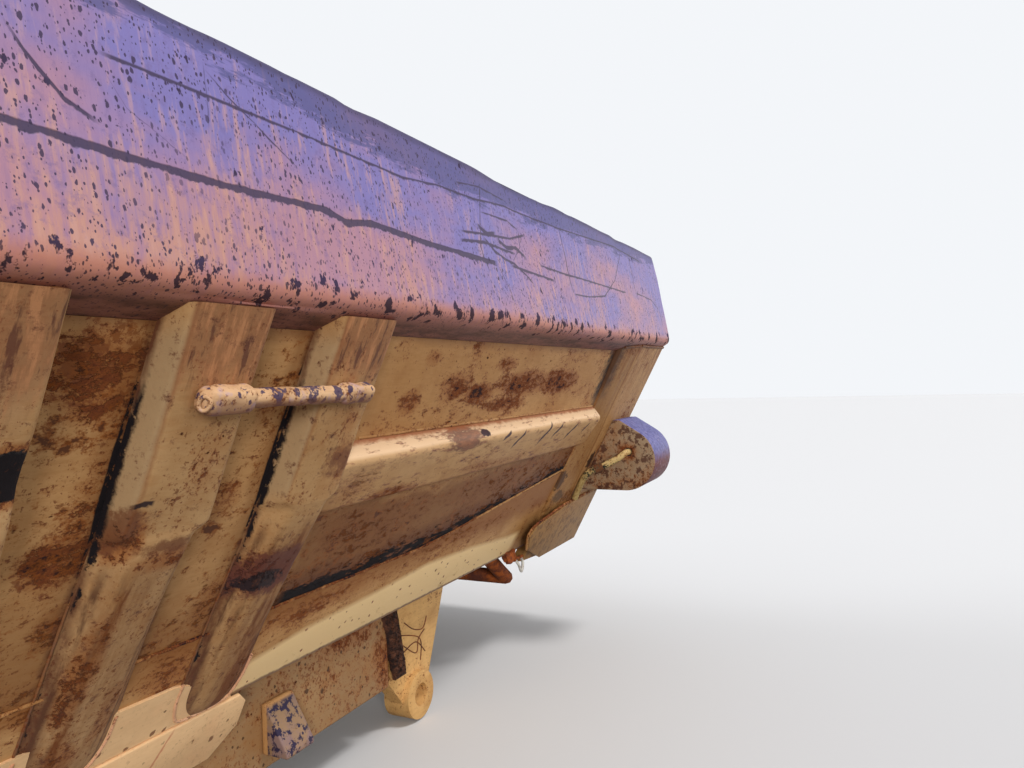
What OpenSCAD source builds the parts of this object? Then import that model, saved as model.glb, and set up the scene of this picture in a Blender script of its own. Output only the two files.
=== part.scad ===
// Dump body of an articulated dump truck, in millimetres.
// +X points to the truck's cab, +Y to its left side and +Z up.
// The origin is the middle of the tipping hinge's axis, under the tail.
// The left half is drawn, and every right-hand piece is its mirror image.

/* [Overall] */
// Distance from the hinge axis back to the open tail
tail_reach = 1150; // [1000:10:1300]
// Distance from the hinge axis forward to the foot of the headboard
floor_reach = 3130; // [2800:10:3400]
// Height of the floor's underside above the hinge axis
floor_z = 345; // [330:5:380]
// Overall width of the body, across the rails' lower corners
body_w = 2500; // [2400:10:2600]

/* [Side walls] */
// Height of the lower side, from the floor's underside to the knuckle
lower_h = 455; // [420:5:490]
// Lean of the lower side from upright
lower_lean = 29.7; // [28:0.1:31]
// Height of the upper side, from the knuckle to the rail
upper_h = 290; // [260:5:320]
// Lean of the upper side from upright
upper_lean = 25.1; // [24:0.1:27]
// Thickness of the side wall plate
wall_t = 8; // [6:1:10]
// Thickness of the heavier plate along the floor
sill_t = 12; // [10:1:14]
// Height of the sill plate ahead of the ramp
sill_h = 195; // [170:5:220]
// How far the seam over the sill plate climbs to the tail
seam_climb = 115; // [90:5:130]

/* [Floor] */
// Thickness of the floor plate
floor_t = 12; // [8:1:16]
// Distance from the open tail to the start of the tail ramp
ramp_l = 1400; // [1200:10:1500]
// Slope of the tail ramp
ramp_slope = 8; // [6:0.5:9]
// Length of the cross box under the ramp's end
bolster_w = 150; // [120:10:180]

/* [Top rail] */
// Height of the rail's slanted outer face
rail_face_h = 365; // [330:5:400]
// How far the rail's lower corner stands out of the wall's top
rail_reach = 84.6; // [70:0.2:95]
// Lean of the rail's outer face
rail_lean = 10.3; // [8:0.1:12]
// Height that the rail's underside rises from the wall to the corner
rail_lip = 46; // [40:1:60]
// Thickness of the rail plate
rail_t = 6; // [5:1:8]

/* [Side ribs] */
// Distance from the open tail to the middle of the rearmost rib
rib_first = 2105; // [2090:5:2150]
// Distance from the foremost rib's middle to the foot of the headboard
rib_to_front = 267; // [262:1:320]
// Width of a rib's outer face
rib_face_w = 148; // [120:1:156]
// Width of a rib at the wall
rib_base_w = 170; // [158:1:184]
// How far a rib stands out of the wall
rib_d = 50; // [40:1:60]
// Lean of the ribs' lower leg, which runs out towards the foot
rib_lower_lean = 33.5; // [32:0.1:34]
// Thickness of the rib plate
rib_t = 6; // [4:1:8]
// Width of a rib's outer face just below its bend
rib_knee_w = 104; // [90:1:116]
// Width of a rib's outer face at its foot
rib_foot_w = 62; // [54:1:80]
// Width of a rib at the tip of its foot, where the corners are cut
rib_toe_w = 124; // [110:1:140]
// Height of the foot's cut corners
rib_toe_h = 60; // [40:5:80]

/* [Waist rib] */
// Height of the waist rib's upper edge over the knuckle
waist_up = 85; // [70:5:100]
// Height of the waist rib's lower edge under the knuckle
waist_down = 58; // [45:1:70]
// Height of the waist rib's slanted top face
waist_fold = 39; // [30:1:45]
// How far the waist rib's fold stands out of the wall
waist_d = 54; // [44:1:58]

/* [Rear post] */
// Length of the post's outer face along the body
post_w = 340; // [300:10:380]
// Length of the slanted flank from the outer face to its front edge
post_flank = 155; // [130:5:170]
// How far the flank's front edge lies behind the outer face
post_drop = 18; // [10:1:21]
// Lean of the post's outer face
post_lean = 27.8; // [27.6:0.1:28.2]
// Height of the post's foot above the hinge axis
post_foot_z = 280; // [260:5:300]
// Depth of the post's folded box
post_d = 60; // [50:1:66]
// Thickness of the post plate
post_t = 8; // [6:1:10]
// Height of the plate welded over the post's foot
shoe_h = 250; // [220:5:270]
// Width of the front post, along the body
front_post_w = 150; // [120:10:180]
// Depth of the front post
front_post_d = 50; // [40:1:60]

/* [Lamp guard] */
// Radius of the guard's round outer side
guard_r = 125; // [115:1:130]
// Height of the guard's peak at the post over its round side
guard_rise = 33; // [20:1:40]
// Length of the guard along the body
guard_l = 250; // [200:5:280]
// Distance from the guard's middle in to the body's widest line
guard_in = 141; // [134:1:150]
// Height of the guard's middle above the hinge axis
guard_z = 660; // [640:1:680]
// Thickness of the guard plate
guard_t = 8; // [6:1:10]
// Diameter of the tail lamp
lamp_d = 150; // [120:5:160]
// Depth of the tail lamp's housing
lamp_h = 60; // [40:5:70]
// How far the lamp's face sits inside the guard
lamp_inset = 40; // [20:5:60]
// Diameter of the cable conduit
conduit_d = 22; // [16:1:28]

/* [Step] */
// How far the step reaches past the middle of each rib
step_over = 41; // [35:1:50]
// Diameter of the step bar
step_d = 24; // [18:1:30]
// Length of a welded tab under the bar's end
tab_l = 108; // [80:1:120]
// Height of a tab
tab_h = 40; // [30:1:45]
// Thickness of a tab
tab_t = 12; // [8:1:16]
// Height of the step under the rail's lower edge
step_drop = 80; // [70:5:160]

/* [Beams] */
// Distance from the floor's edge in to a beam's outer web
beam_in = 70; // [55:5:90]
// Width of a beam
beam_w = 120; // [100:5:140]
// Height of a beam
beam_h = 250; // [230:5:270]
// Thickness of the beam's plates
beam_t = 10; // [8:1:14]
// Distance from the hinge axis forward to the beam's rear end
beam_rear = 190; // [170:5:240]
// Gap between the beam's front end and the headboard's foot
beam_front_gap = 60; // [30:5:100]
// Number of cross-members under the floor
cross_n = 4; // [3:1:5]
// Height of a cross-member
cross_h = 110; // [80:5:130]
// Width of a cross-member
cross_w = 90; // [70:5:120]
// Distance from the beams' ends to the first and last cross-member
cross_inset = 215; // [180:5:260]
// Height of the skirt plate under the ribs' feet
skirt_h = 150; // [130:5:170]
// Distance from the open tail to the guide block
guide_from_tail = 1765; // [1740:5:1900]
// Length of the guide block along the beam
guide_l = 95; // [80:5:110]
// Height of the guide block
guide_h = 120; // [100:5:130]
// How far the guide block's foot flares out
guide_flare = 75; // [50:5:80]
// Distance from the floor down to the guide block
guide_drop = 92; // [80:2:100]

/* [Hinge] */
// Diameter of the hinge bore
hinge_bore = 70; // [50:2:80]
// Length of a hinge eye along its bore
eye_l = 90; // [70:5:110]
// Outer diameter of a hinge eye
eye_d = 150; // [130:5:170]
// Length of the hinge plate along the body where it meets the floor
hinge_plate_l = 400; // [300:10:430]
// Thickness of the hinge plate
hinge_plate_t = 50; // [40:2:60]

/* [Hoist] */
// Distance from the hinge axis forward to the hoist bores
hoist_x = 1500; // [1300:10:1700]
// Height of the hoist bores above the hinge axis
hoist_z = 55; // [45:1:62]
// Diameter of a hoist bore
hoist_bore = 60; // [40:2:70]
// Thickness of a hoist lug
lug_t = 25; // [20:1:30]
// Gap between the two lugs, where the cylinder's eye sits
lug_gap = 82; // [70:1:90]
// Length of a lug along the body where it meets the floor
lug_foot = 280; // [240:10:320]

/* [Tail] */
// Diameter of the bent tube across the tail
tube_d = 58; // [50:2:70]
// Distance from the open tail to the tube
tube_from_tail = 480; // [450:10:560]
// Height of the tube above the hinge axis
tube_z = 210; // [190:5:240]
// Slope of the tube's legs, which climb forward to the ramp
leg_slope = 37; // [30:1:50]
// Thickness of the tube's wall
tube_t = 8; // [5:1:12]
// Thickness of the pad between a leg and the ramp
hanger_t = 15; // [10:1:20]
// Length of that pad along the body
hanger_l = 150; // [130:5:180]
// Length of the wear strip on the ramp's end
lip_l = 140; // [100:10:200]
// Thickness of the wear strip
lip_t = 10; // [6:1:16]

/* [Headboard] */
// Lean of the headboard towards the cab
head_lean = 19; // [15:0.5:22]
// Height of the spill guard above the rails
spill_h = 300; // [200:10:350]
// How far the headboard's frame stays inside the side walls
head_in = 66; // [50:2:90]
// Width of the headboard's stiffeners
head_rib_w = 110; // [90:5:140]
// Depth of the headboard's stiffeners
head_rib_d = 70; // [50:5:80]
// Height of the rail along the headboard's top
head_rail_h = 120; // [100:5:140]
// Depth of that rail
head_rail_d = 90; // [80:5:110]

/* [Hidden] */

tail_x = -tail_reach;
rail_half = body_w / 2;
floor_half = rail_half - rail_reach - upper_h * tan(upper_lean) - lower_h * tan(lower_lean);
// Corners of the side wall's outer face, each as [distance from the middle, height]
foot = [floor_half, floor_z];
knuckle = [floor_half + lower_h * tan(lower_lean), floor_z + lower_h];
wall_top = [knuckle.x + upper_h * tan(upper_lean), knuckle.y + upper_h];
// Seven ribs share the length between the rearmost and the foremost one
rib_n = 7;
rib_pitch = (floor_reach - rib_to_front - tail_x - rib_first) / (rib_n - 1);
step_l = rib_pitch + 2 * step_over;
// Where a rib's outer face bends
rib_bend = [knuckle.x + rib_d * cos(upper_lean), knuckle.y - rib_d * sin(upper_lean)];
// Corners of the top rail's section
rail_corner = [rail_half, wall_top.y + rail_lip];
rail_lower = [rail_half - 30, wall_top.y + rail_lip / 2];
rail_top = [rail_corner.x - rail_face_h * tan(rail_lean), rail_corner.y + rail_face_h];
rail_inner = wall_top.x - wall_t / cos(upper_lean);
top_z = rail_top.y;
// The seam between the sill plate and the wall, measured up the slope of the lower side
sill_len = sill_h / cos(lower_lean);
seam_end = sill_len + seam_climb / cos(lower_lean);
seam_x = tail_x + ramp_l;
tube_x = tail_x + tube_from_tail;
// The front edge of the post's flank
flank_x = tail_x + post_w + post_flank;
guard_y = rail_half - guard_in;
beam_half = floor_half - beam_in;
beam_front = floor_reach - beam_front_gap;
head_half = rail_inner - head_in;
// The lines that the leaning headboard follows
head_x0 = floor_reach - floor_z * tan(head_lean);
front_x = head_x0 + top_z * tan(head_lean);
big = 3 * tail_reach + floor_reach;
slip = 0.02;

// Where two lines in the section meet, each given by a point and its lean
function meet(p, a, q, b) =
    let (z = (q.x - p.x + p.y * tan(a) - q.y * tan(b)) / (tan(a) - tan(b)))
    [p.x + (z - p.y) * tan(a), z];

// The inner corner of the wall at the knuckle
inner_knuckle = meet([knuckle.x - wall_t / cos(upper_lean), knuckle.y], upper_lean,
                     [knuckle.x - wall_t / cos(lower_lean), knuckle.y], lower_lean);

// Height of the ramp's underside at x
function ramp_z(x) = floor_z + (seam_x - x) * tan(ramp_slope);

// Middle of the bent tube's corner, and where its leg meets the pad
leg_y = beam_half - tube_d / 2;
leg_x = tube_x + (ramp_z(tube_x) - hanger_t - tube_z) / (tan(leg_slope) + tan(ramp_slope));

// The mean lean of a rib, and the length of its lower leg along that lean
rib_lean = (rib_lower_lean + upper_lean) / 2;
rib_leg_l = (rib_bend.y - floor_z) / cos(rib_lean);

// The conduit's hole in the lamp guard, as [distance from the middle, height]
guard_hole = [guard_y + 16, guard_z + 30];

// Where the post's outer face stands at height z
function post_y(z) = rail_lower.x - (rail_lower.y - z) * tan(post_lean);

// Turns a section drawn as [distance from the middle, height] into a length along X
module along_x(x0, x1) {
    translate([x0, 0, 0])
        rotate([90, 0, 90])
            linear_extrude(height = x1 - x0)
                children();
}

// Lays a drawing on the lower side's outer face: x forward, y up the slope, thickness inward
module on_lower_side() {
    translate([0, foot.x, foot.y])
        rotate([90 - lower_lean, 0, 0])
            children();
}

// Everything in front of the headboard's front face, moved on by gap
module ahead_of_headboard(gap = 0) {
    translate([head_x0 + gap / cos(head_lean), 0, 0])
        rotate([0, head_lean, 0])
            translate([0, -big, -big])
                cube([big, 2 * big, 2 * big]);
}

// Everything under height z
module below(z) {
    translate([-big, -big, z - 2 * big])
        cube([2 * big, 2 * big, 2 * big]);
}

// Everything above height z
module above(z) {
    translate([-big, -big, z])
        cube([2 * big, 2 * big, 2 * big]);
}

// The space inside the lower sides and walls, as a section
module inside_section(lift) {
    inner_foot = foot.x - sill_t / cos(lower_lean);
    half = [
        [inner_foot - 100 * tan(lower_lean), floor_z - 100],
        [meet([inner_foot, floor_z], lower_lean, inner_knuckle, 0).x, inner_knuckle.y],
        [rail_inner, wall_top.y],
        [rail_inner, lift]
    ];
    polygon(concat(half, [for (i = [3 : -1 : 0]) [-half[i].x, half[i].y]]));
}

// Mirror image of a left-hand piece
module on_right() {
    mirror([0, 1, 0])
        children();
}

// Flat floor between the sills, with its front edge under the headboard
module floor_plate() {
    color("peru")
        translate([seam_x, -floor_half, floor_z])
            cube([floor_reach - seam_x, 2 * floor_half, floor_t]);
}

// Floor of the tail, climbing to the open end
module tail_ramp() {
    color("peru")
        intersection() {
            translate([seam_x, 0, floor_z])
                rotate([0, ramp_slope, 0])
                    translate([-2 * ramp_l, -rail_half, 0])
                        cube([2 * ramp_l, 2 * rail_half, floor_t]);
            along_x(tail_x, seam_x)
                inside_section(top_z);
        }
}

// Cross box that carries the end of the ramp between the posts
module tail_bolster() {
    color("goldenrod")
        intersection() {
            translate([0, big / 2, 0])
                rotate([90, 0, 0])
                    linear_extrude(height = big)
                        difference() {
                            bolster_outline(0);
                            bolster_outline(beam_t);
                        }
            along_x(tail_x, seam_x)
                inside_section(top_z);
        }
}

// Side view of the bolster, inset by gap
module bolster_outline(gap) {
    x0 = tail_x + gap;
    x1 = tail_x + bolster_w - gap;
    z0 = post_foot_z + gap;
    polygon([[x0, z0], [x1, z0], [x1, ramp_z(x1) - gap], [x0, ramp_z(x0) - gap]]);
}

// Wear strip on the end of the ramp
module tail_lip() {
    color("sienna")
        intersection() {
            translate([seam_x, 0, floor_z])
                rotate([0, ramp_slope, 0])
                    translate([lip_l - (ramp_l + floor_t) / cos(ramp_slope) - ramp_l, -rail_half, floor_t])
                        cube([ramp_l, 2 * rail_half, lip_t]);
            along_x(tail_x, seam_x)
                inside_section(top_z);
        }
}

// Heavy plate along the floor, whose upper edge climbs with the ramp
module sill_left() {
    color("goldenrod")
        difference() {
            on_lower_side()
                linear_extrude(height = sill_t)
                    polygon([
                        [tail_x, 0], [front_x, 0], [front_x, sill_len],
                        [seam_x, sill_len], [tail_x + post_w, seam_end], [tail_x, seam_end]
                    ]);
            ahead_of_headboard();
            translate([seam_x, -big, floor_z - 1])
                cube([big, big + floor_half + slip, floor_t + 1]);
        }
}

// Bent wall plate from the sill's seam over the knuckle to the rail
module side_wall_left() {
    inner_foot = foot.x - wall_t / cos(lower_lean);
    color("burlywood")
        difference() {
            along_x(tail_x, front_x)
                polygon([
                    foot, knuckle, wall_top, [rail_inner, wall_top.y], inner_knuckle, [inner_foot, foot.y]
                ]);
            on_lower_side()
                translate([0, 0, -wall_t])
                    linear_extrude(height = 3 * wall_t)
                        polygon([
                            [tail_x - 1, -sill_len], [front_x + 1, -sill_len], [front_x + 1, sill_len],
                            [seam_x, sill_len], [tail_x + post_w, seam_end], [tail_x - 1, seam_end]
                        ]);
            ahead_of_headboard();
        }
}

// Section of the closed top rail
module rail_section() {
    outer = [
        [wall_top.x, wall_top.y], [rail_lower.x, rail_lower.y], [rail_corner.x - 5, rail_corner.y - 16],
        [rail_corner.x, rail_corner.y], [rail_top.x, rail_top.y - 8], [rail_top.x - 8, rail_top.y],
        [rail_inner + 8, top_z], [rail_inner, top_z - 8], [rail_inner, wall_top.y]
    ];
    polygon(outer);
}

// Top rail, a folded box whose tall face leans out over the ribs
module rail_left() {
    color("rosybrown")
        difference() {
            along_x(tail_x + rail_t, front_x)
                difference() {
                    rail_section();
                    offset(delta = -rail_t)
                        rail_section();
                }
            ahead_of_headboard(-rail_t);
        }
}

// Plates that close the two ends of the rail
module rail_caps_left() {
    color("rosybrown") {
        along_x(tail_x, tail_x + rail_t)
            rail_section();
        intersection() {
            along_x(0, front_x)
                rail_section();
            headboard_slab(0, rail_t);
        }
    }
}

// Side view of a rib, from its outer face to inside the wall, inset by gap
module rib_profile(gap) {
    bend = meet([rib_bend.x - gap / cos(upper_lean), rib_bend.y], upper_lean,
                [rib_bend.x - gap / cos(rib_lower_lean), rib_bend.y], rib_lower_lean);
    z0 = floor_z + gap;
    z1 = wall_top.y + 100;
    polygon([
        [bend.x - (bend.y - z0) * tan(rib_lower_lean), z0], bend,
        [bend.x + (z1 - bend.y) * tan(upper_lean), z1],
        [wall_top.x - rib_d, z1], [knuckle.x - rib_d, knuckle.y], [foot.x - rib_d, z0]
    ]);
}

// Puts a drawing in a rib's own leaning frame, with its origin at the bend
module on_rib() {
    translate([0, rib_bend.x, rib_bend.y])
        rotate([-rib_lean, 0, 0])
            children();
}

// Rib with a wide upper leg and a lower leg that tapers to its foot, inset by gap
module rib_body(gap) {
    rib_upper_leg(gap);
    difference() {
        on_rib()
            rib_lower_leg(gap);
        below(floor_z + gap);
    }
}

// Upper leg, whose flanks spread from the outer face to the wall
module rib_upper_leg(gap) {
    spread = (rib_base_w - rib_face_w) / 2 / rib_d;
    half = rib_face_w / 2 - gap * sqrt(1 + spread * spread);
    reach = 4 * rib_d;
    intersection() {
        along_x(-rib_base_w, rib_base_w)
            rib_profile(gap);
        on_rib()
            translate([0, 0, gap])
                linear_extrude(height = big)
                    polygon([
                        [-half + spread * rib_d, rib_d], [half - spread * rib_d, rib_d],
                        [half + spread * reach, -reach], [-half - spread * reach, -reach]
                    ]);
    }
}

// Lower leg, lofted through a section at the bend, one over the toe and one under it
module rib_lower_leg(gap) {
    t0 = gap > 0 ? -gap - 1 : 0;
    t1 = rib_leg_l - rib_toe_h;
    t2 = rib_leg_l + rib_t;
    taper = (rib_knee_w - rib_foot_w) / rib_leg_l;
    hull() {
        rib_leg_section(t0, rib_knee_w, rib_base_w, gap);
        rib_leg_section(t1, rib_knee_w - taper * t1, rib_base_w, gap);
    }
    hull() {
        rib_leg_section(t1, rib_knee_w - taper * t1, rib_base_w, gap);
        rib_leg_section(t2, rib_foot_w, rib_toe_w, gap);
    }
}

// Section of the lower leg at distance t below the bend
module rib_leg_section(t, face_w, base_w, gap) {
    out = -t * tan(rib_lower_lean - rib_lean);
    wall = -rib_d * cos(rib_lean - upper_lean)
         - (t - rib_d * sin(rib_lean - upper_lean)) * tan(lower_lean - rib_lean);
    spread = (base_w - face_w) / 2 / (out - wall);
    inset = gap * sqrt(1 + spread * spread);
    face = face_w / 2 + spread * gap - inset;
    base = base_w / 2 - inset;
    translate([0, 0, -t])
        linear_extrude(height = 0.05)
            polygon([
                [-base, wall - wall_t], [-base, wall], [-face, out - gap],
                [face, out - gap], [base, wall], [base, wall - wall_t]
            ]);
}

// Hat rib number i, counted from the tail, bent at the knuckle
module rib_left(i) {
    color("burlywood")
        translate([tail_x + rib_first + (i - 1) * rib_pitch, 0, 0])
            difference() {
                rib_body(0);
                rib_body(rib_t);
                over_rail_underside();
                wall_side();
            }
}

// Everything inboard of the side wall's outer face
module wall_side() {
    along_x(-big, big)
        polygon([
            [foot.x - foot.y * tan(lower_lean), 0], foot, knuckle, wall_top,
            [wall_top.x, 2 * top_z], [-big, 2 * top_z], [-big, 0]
        ]);
}

// Everything over the rail's underside, which slants up from the wall to the corner
module over_rail_underside() {
    slant = (rail_lower.y - wall_top.y) / (rail_lower.x - wall_top.x);
    along_x(-big, big)
        polygon([
            wall_top, rail_lower, [big, rail_lower.y + slant * (big - rail_lower.x)],
            [big, 2 * big], [-big, 2 * big], [-big, wall_top.y]
        ]);
}

// Horizontal folded rib that covers the knuckle from the rear post to the first rib
module waist_rib_left() {
    x_rib = tail_x + rib_first;
    color("burlywood")
        difference() {
            along_x(flank_x - 12, x_rib - rib_face_w / 2 - 4)
                difference() {
                    waist_outline(0);
                    waist_outline(rib_t);
                }
            wall_side();
            post_solid(1);
            translate([x_rib, 0, 0])
                rib_block();
        }
}

// Section of the waist rib, inset by gap: a slanted top, a leaning face and a short foot
module waist_outline(gap) {
    z_top = knuckle.y + waist_up;
    z_fold = z_top - waist_fold;
    z_low = knuckle.y - waist_down;
    fold_x = knuckle.x + (waist_up - waist_fold) * tan(upper_lean) + waist_d;
    low_x = knuckle.x - waist_down * tan(lower_lean) + waist_d / 2;
    polygon([
        [knuckle.x + waist_up * tan(upper_lean) - 0.7 * gap, z_top - 1.5 * gap],
        [fold_x - 1.3 * gap, z_fold - gap / 2],
        [low_x - 1.3 * gap, z_low + gap],
        [knuckle.x - lower_h / 4, z_low + gap],
        [knuckle.x - lower_h / 4, z_top - waist_d - 1.5 * gap]
    ]);
}

// Full outline of a rib, without its hollow, to cut neighbours clear of it
module rib_block() {
    translate([0, knuckle.x, knuckle.y])
        rotate([-upper_lean, 0, 0])
            translate([0, 0, -lower_h])
                linear_extrude(height = lower_h + upper_h)
                    polygon([
                        [-rib_base_w / 2 - 1, -9], [-rib_face_w / 2 - 1, rib_d + 9],
                        [rib_face_w / 2 + 1, rib_d + 9], [rib_base_w / 2 + 1, -9]
                    ]);
}

// Outline of the rear post in its own leaning frame, grown by gap
module post_solid(gap) {
    translate([tail_x, rail_lower.x, rail_lower.y])
        rotate([-post_lean, 0, 0])
            translate([0, 0, -2 * lower_h])
                linear_extrude(height = 4 * lower_h)
                    polygon([
                        [-gap, gap], [post_w + gap, gap], [post_w + post_flank + gap, gap - post_drop],
                        [post_w + post_flank + post_t + gap, -post_d], [-gap, -post_d]
                    ]);
}

// Folded box post at the open tail, from the rail down to its foot
module rear_post_left() {
    color("burlywood")
        difference() {
            post_solid(0);
            translate([tail_x + post_t, rail_lower.x, rail_lower.y])
                rotate([-post_lean, 0, 0])
                    translate([0, 0, -3 * lower_h])
                        linear_extrude(height = 6 * lower_h)
                            polygon([
                                [0, -post_t], [post_w - post_t, -post_t],
                                [post_w + post_flank - 2 * post_t, -post_t - post_drop],
                                [post_w + post_flank - post_t, -post_d - 1], [0, -post_d - 1]
                            ]);
            over_rail_underside();
            below(post_foot_z);
            wall_side();
        }
}

// Slab that leans with the headboard, from depth a to depth b behind its front face
module headboard_slab(a, b) {
    difference() {
        ahead_of_headboard(-b);
        ahead_of_headboard(-a);
    }
}

// Folded channel along the side wall's front edge
module front_post_left() {
    color("burlywood")
        difference() {
            intersection() {
                front_post_section(front_post_d);
                headboard_slab(0, front_post_w);
            }
            intersection() {
                front_post_section(front_post_d - post_t);
                headboard_slab(post_t, front_post_w - post_t);
            }
        }
}

// Strip outside the side wall, depth deep, from the floor to the rail
module front_post_section(depth) {
    difference() {
        along_x(0, front_x)
            polygon([
                [foot.x - 10, foot.y], [foot.x + depth, foot.y],
                [knuckle.x + depth, knuckle.y], [wall_top.x + depth, wall_top.y + rail_lip],
                [wall_top.x - 20, wall_top.y]
            ]);
        over_rail_underside();
        wall_side();
    }
}

// Plate welded over the post's foot, running forward to the end of the sill
module post_shoe_left() {
    color("goldenrod")
        translate([tail_x, post_y(post_foot_z), post_foot_z])
            rotate([90 - post_lean, 0, 0])
                mirror([0, 0, 1])
                    linear_extrude(height = post_t)
                        polygon([
                            [0, 0], [post_w + 60, 0], [post_w + 250, 0.32 * shoe_h],
                            [post_w + 300, 0.6 * shoe_h], [post_w + 270, 0.76 * shoe_h],
                            [post_w, 0.95 * shoe_h], [0, shoe_h]
                        ]);
}

// Section of the lamp guard, grown by d: a slanting top, a round outer side and a flat foot
module guard_section(d) {
    peak = [guard_y - 18, guard_z + guard_r + guard_rise];
    away = norm([peak.x - guard_y, peak.y - guard_z]);
    tangent = atan2(peak.y - guard_z, peak.x - guard_y) - acos(guard_r / away);
    r = guard_r + d;
    difference() {
        polygon(concat(
            [[guard_y - 3 * r, guard_z - r]],
            [for (i = [0 : 24])
                let (a = i / 24 * (tangent + 90) - 90)
                [guard_y + r * cos(a), guard_z + r * sin(a)]],
            [[peak.x, peak.y + d], [guard_y - 3 * r, peak.y + d]]
        ));
        polygon([
            [post_y(0), 0], [post_y(2 * top_z), 2 * top_z], [-big, 2 * top_z], [-big, 0]
        ]);
    }
}

// Box that shelters the tail lamp, open to the rear
module lamp_guard_left() {
    color("rosybrown")
        difference() {
            along_x(tail_x, tail_x + guard_l)
                guard_section(0);
            along_x(tail_x - 1, tail_x + guard_l - guard_t)
                guard_section(-guard_t);
            translate([tail_x + guard_l - 2 * guard_t, guard_hole.x, guard_hole.y])
                rotate([0, 90, 0])
                    cylinder(d = conduit_d + 10, h = 3 * guard_t, $fn = 32);
        }
}

// Round rear lamp on a plate inside its guard
module tail_lamp_left() {
    color("firebrick")
        translate([tail_x + lamp_inset, guard_y + 10, guard_z]) {
            rotate([0, 90, 0])
                cylinder(d = lamp_d, h = lamp_h, $fn = 64);
            translate([lamp_h - 1, -lamp_d / 6, -lamp_d / 2 + 10])
                cube([guard_l - guard_t - lamp_inset - lamp_h + 1, lamp_d / 3, lamp_d / 4]);
        }
}

// Straight length of conduit with round ends
module conduit_run(a, b) {
    v = b - a;
    n = norm(v);
    translate(a)
        rotate([0, acos(v.z / n), atan2(v.y, v.x)])
            cylinder(d = conduit_d, h = n, $fn = 20);
}

// Cable conduit from the guard's hole, down the post's outer face
module conduit_left() {
    x0 = tail_x + guard_l;
    out = (conduit_d / 2 + 1.2) / cos(post_lean);
    z1 = guard_hole.y - 0.6 * guard_r;
    z2 = guard_hole.y - 1.5 * guard_r;
    run = [
        [x0 - 30, guard_hole.x, guard_hole.y],
        [x0 + 22, guard_hole.x, guard_hole.y],
        [x0 + 40, guard_hole.x - 28, guard_hole.y - 24],
        [x0 + 66, post_y(z1) + out, z1],
        [tail_x + post_w - 30, post_y(z2) + out, z2]
    ];
    color("khaki") {
        for (i = [0 : len(run) - 2])
            conduit_run(run[i], run[i + 1]);
        for (i = [1 : len(run) - 1])
            translate(run[i])
                sphere(d = conduit_d + 2, $fn = 20);
    }
}

// Welded step: two tabs on the outer faces of neighbouring ribs and a round bar
module step_left() {
    z_up = (upper_h - step_drop) / cos(upper_lean);
    mid_x = tail_x + rib_first + rib_pitch / 2;
    color("burlywood")
        translate([mid_x, knuckle.x, knuckle.y])
            rotate([-upper_lean, 0, 0])
                translate([0, rib_d, z_up]) {
                    for (side = [-1, 1])
                        translate([side * (step_l - tab_l) / 2, 0, 0])
                            rotate([-90, 0, 0])
                                linear_extrude(height = tab_t)
                                    rounded_bar(tab_l, tab_h);
                    translate([-step_l / 2 + 12, tab_t + step_d / 2 - 3, 0])
                        rotate([0, 90, 0])
                            cylinder(d = step_d, h = step_l - 24, $fn = 32);
                }
}

// Flat bar outline with round ends
module rounded_bar(l, h) {
    for (side = [-1, 1])
        translate([side * (l - h) / 2, 0])
            circle(d = h, $fn = 32);
    square([l - h, h], center = true);
}

// Doubler under the ribs' feet, ahead of the wheel, that ties the sill to the beam
module skirt_left() {
    lean = atan((foot.x + 4 - beam_half - 1) / skirt_h);
    x0 = tail_x + rib_first - rib_pitch * 0.41;
    x1 = floor_reach - rib_to_front + 60;
    color("wheat")
        translate([0, foot.x + 1, foot.y])
            rotate([-90 - lean, 0, 0])
                linear_extrude(height = beam_t)
                    polygon([
                        [x0, 26], [x0 + 26, 0], [x1 - 26, 0], [x1, 26],
                        [x1, 0.6 * skirt_h], [x1 - 60, skirt_h], [x0 + 60, skirt_h], [x0, 0.6 * skirt_h]
                    ]);
}

// Longitudinal box beam under the floor
module beam_left() {
    color("goldenrod")
        translate([beam_rear, beam_half - beam_w, floor_z - beam_h])
            difference() {
                cube([beam_front - beam_rear, beam_w, beam_h]);
                translate([beam_t, beam_t, beam_t])
                    cube([beam_front - beam_rear, beam_w - 2 * beam_t, beam_h - 2 * beam_t]);
            }
}

// Guide block on the beam's web, flared outward at its foot
module guide_left() {
    color("thistle")
        translate([tail_x + guide_from_tail, beam_half, floor_z - guide_drop - guide_h])
            rotate([90, 0, 90])
                linear_extrude(height = guide_l)
                    polygon([[0, 0], [guide_flare, 0], [guide_flare, 12], [12, guide_h], [0, guide_h]]);
}

// Hinge plate with its eye, hung from the floor at the beam's rear end
module hinge_left() {
    y1 = beam_half - beam_t;
    color("goldenrod")
        difference() {
            union() {
                translate([0, y1, 0])
                    rotate([90, 0, 0])
                        cylinder(d = eye_d, h = eye_l, $fn = 64);
                translate([0, y1 - (eye_l - hinge_plate_t) / 2, 0])
                    rotate([90, 0, 0])
                        linear_extrude(height = hinge_plate_t)
                            hinge_outline();
            }
            translate([0, y1 + 1, 0])
                rotate([90, 0, 0])
                    cylinder(d = hinge_bore, h = eye_l + 2, $fn = 64);
        }
}

// Side view of the hinge plate: wide at the floor, round at the eye
module hinge_outline() {
    r = eye_d / 2;
    back = hinge_plate_l - beam_rear + 2;
    polygon([
        [-r * 0.95, r * 0.26], [-back, floor_z], [beam_rear - slip, floor_z],
        [beam_rear - slip, floor_z - beam_h + 4 * beam_t], [r * 0.95, -r * 0.13]
    ]);
    circle(r = r - 1, $fn = 64);
}

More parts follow.
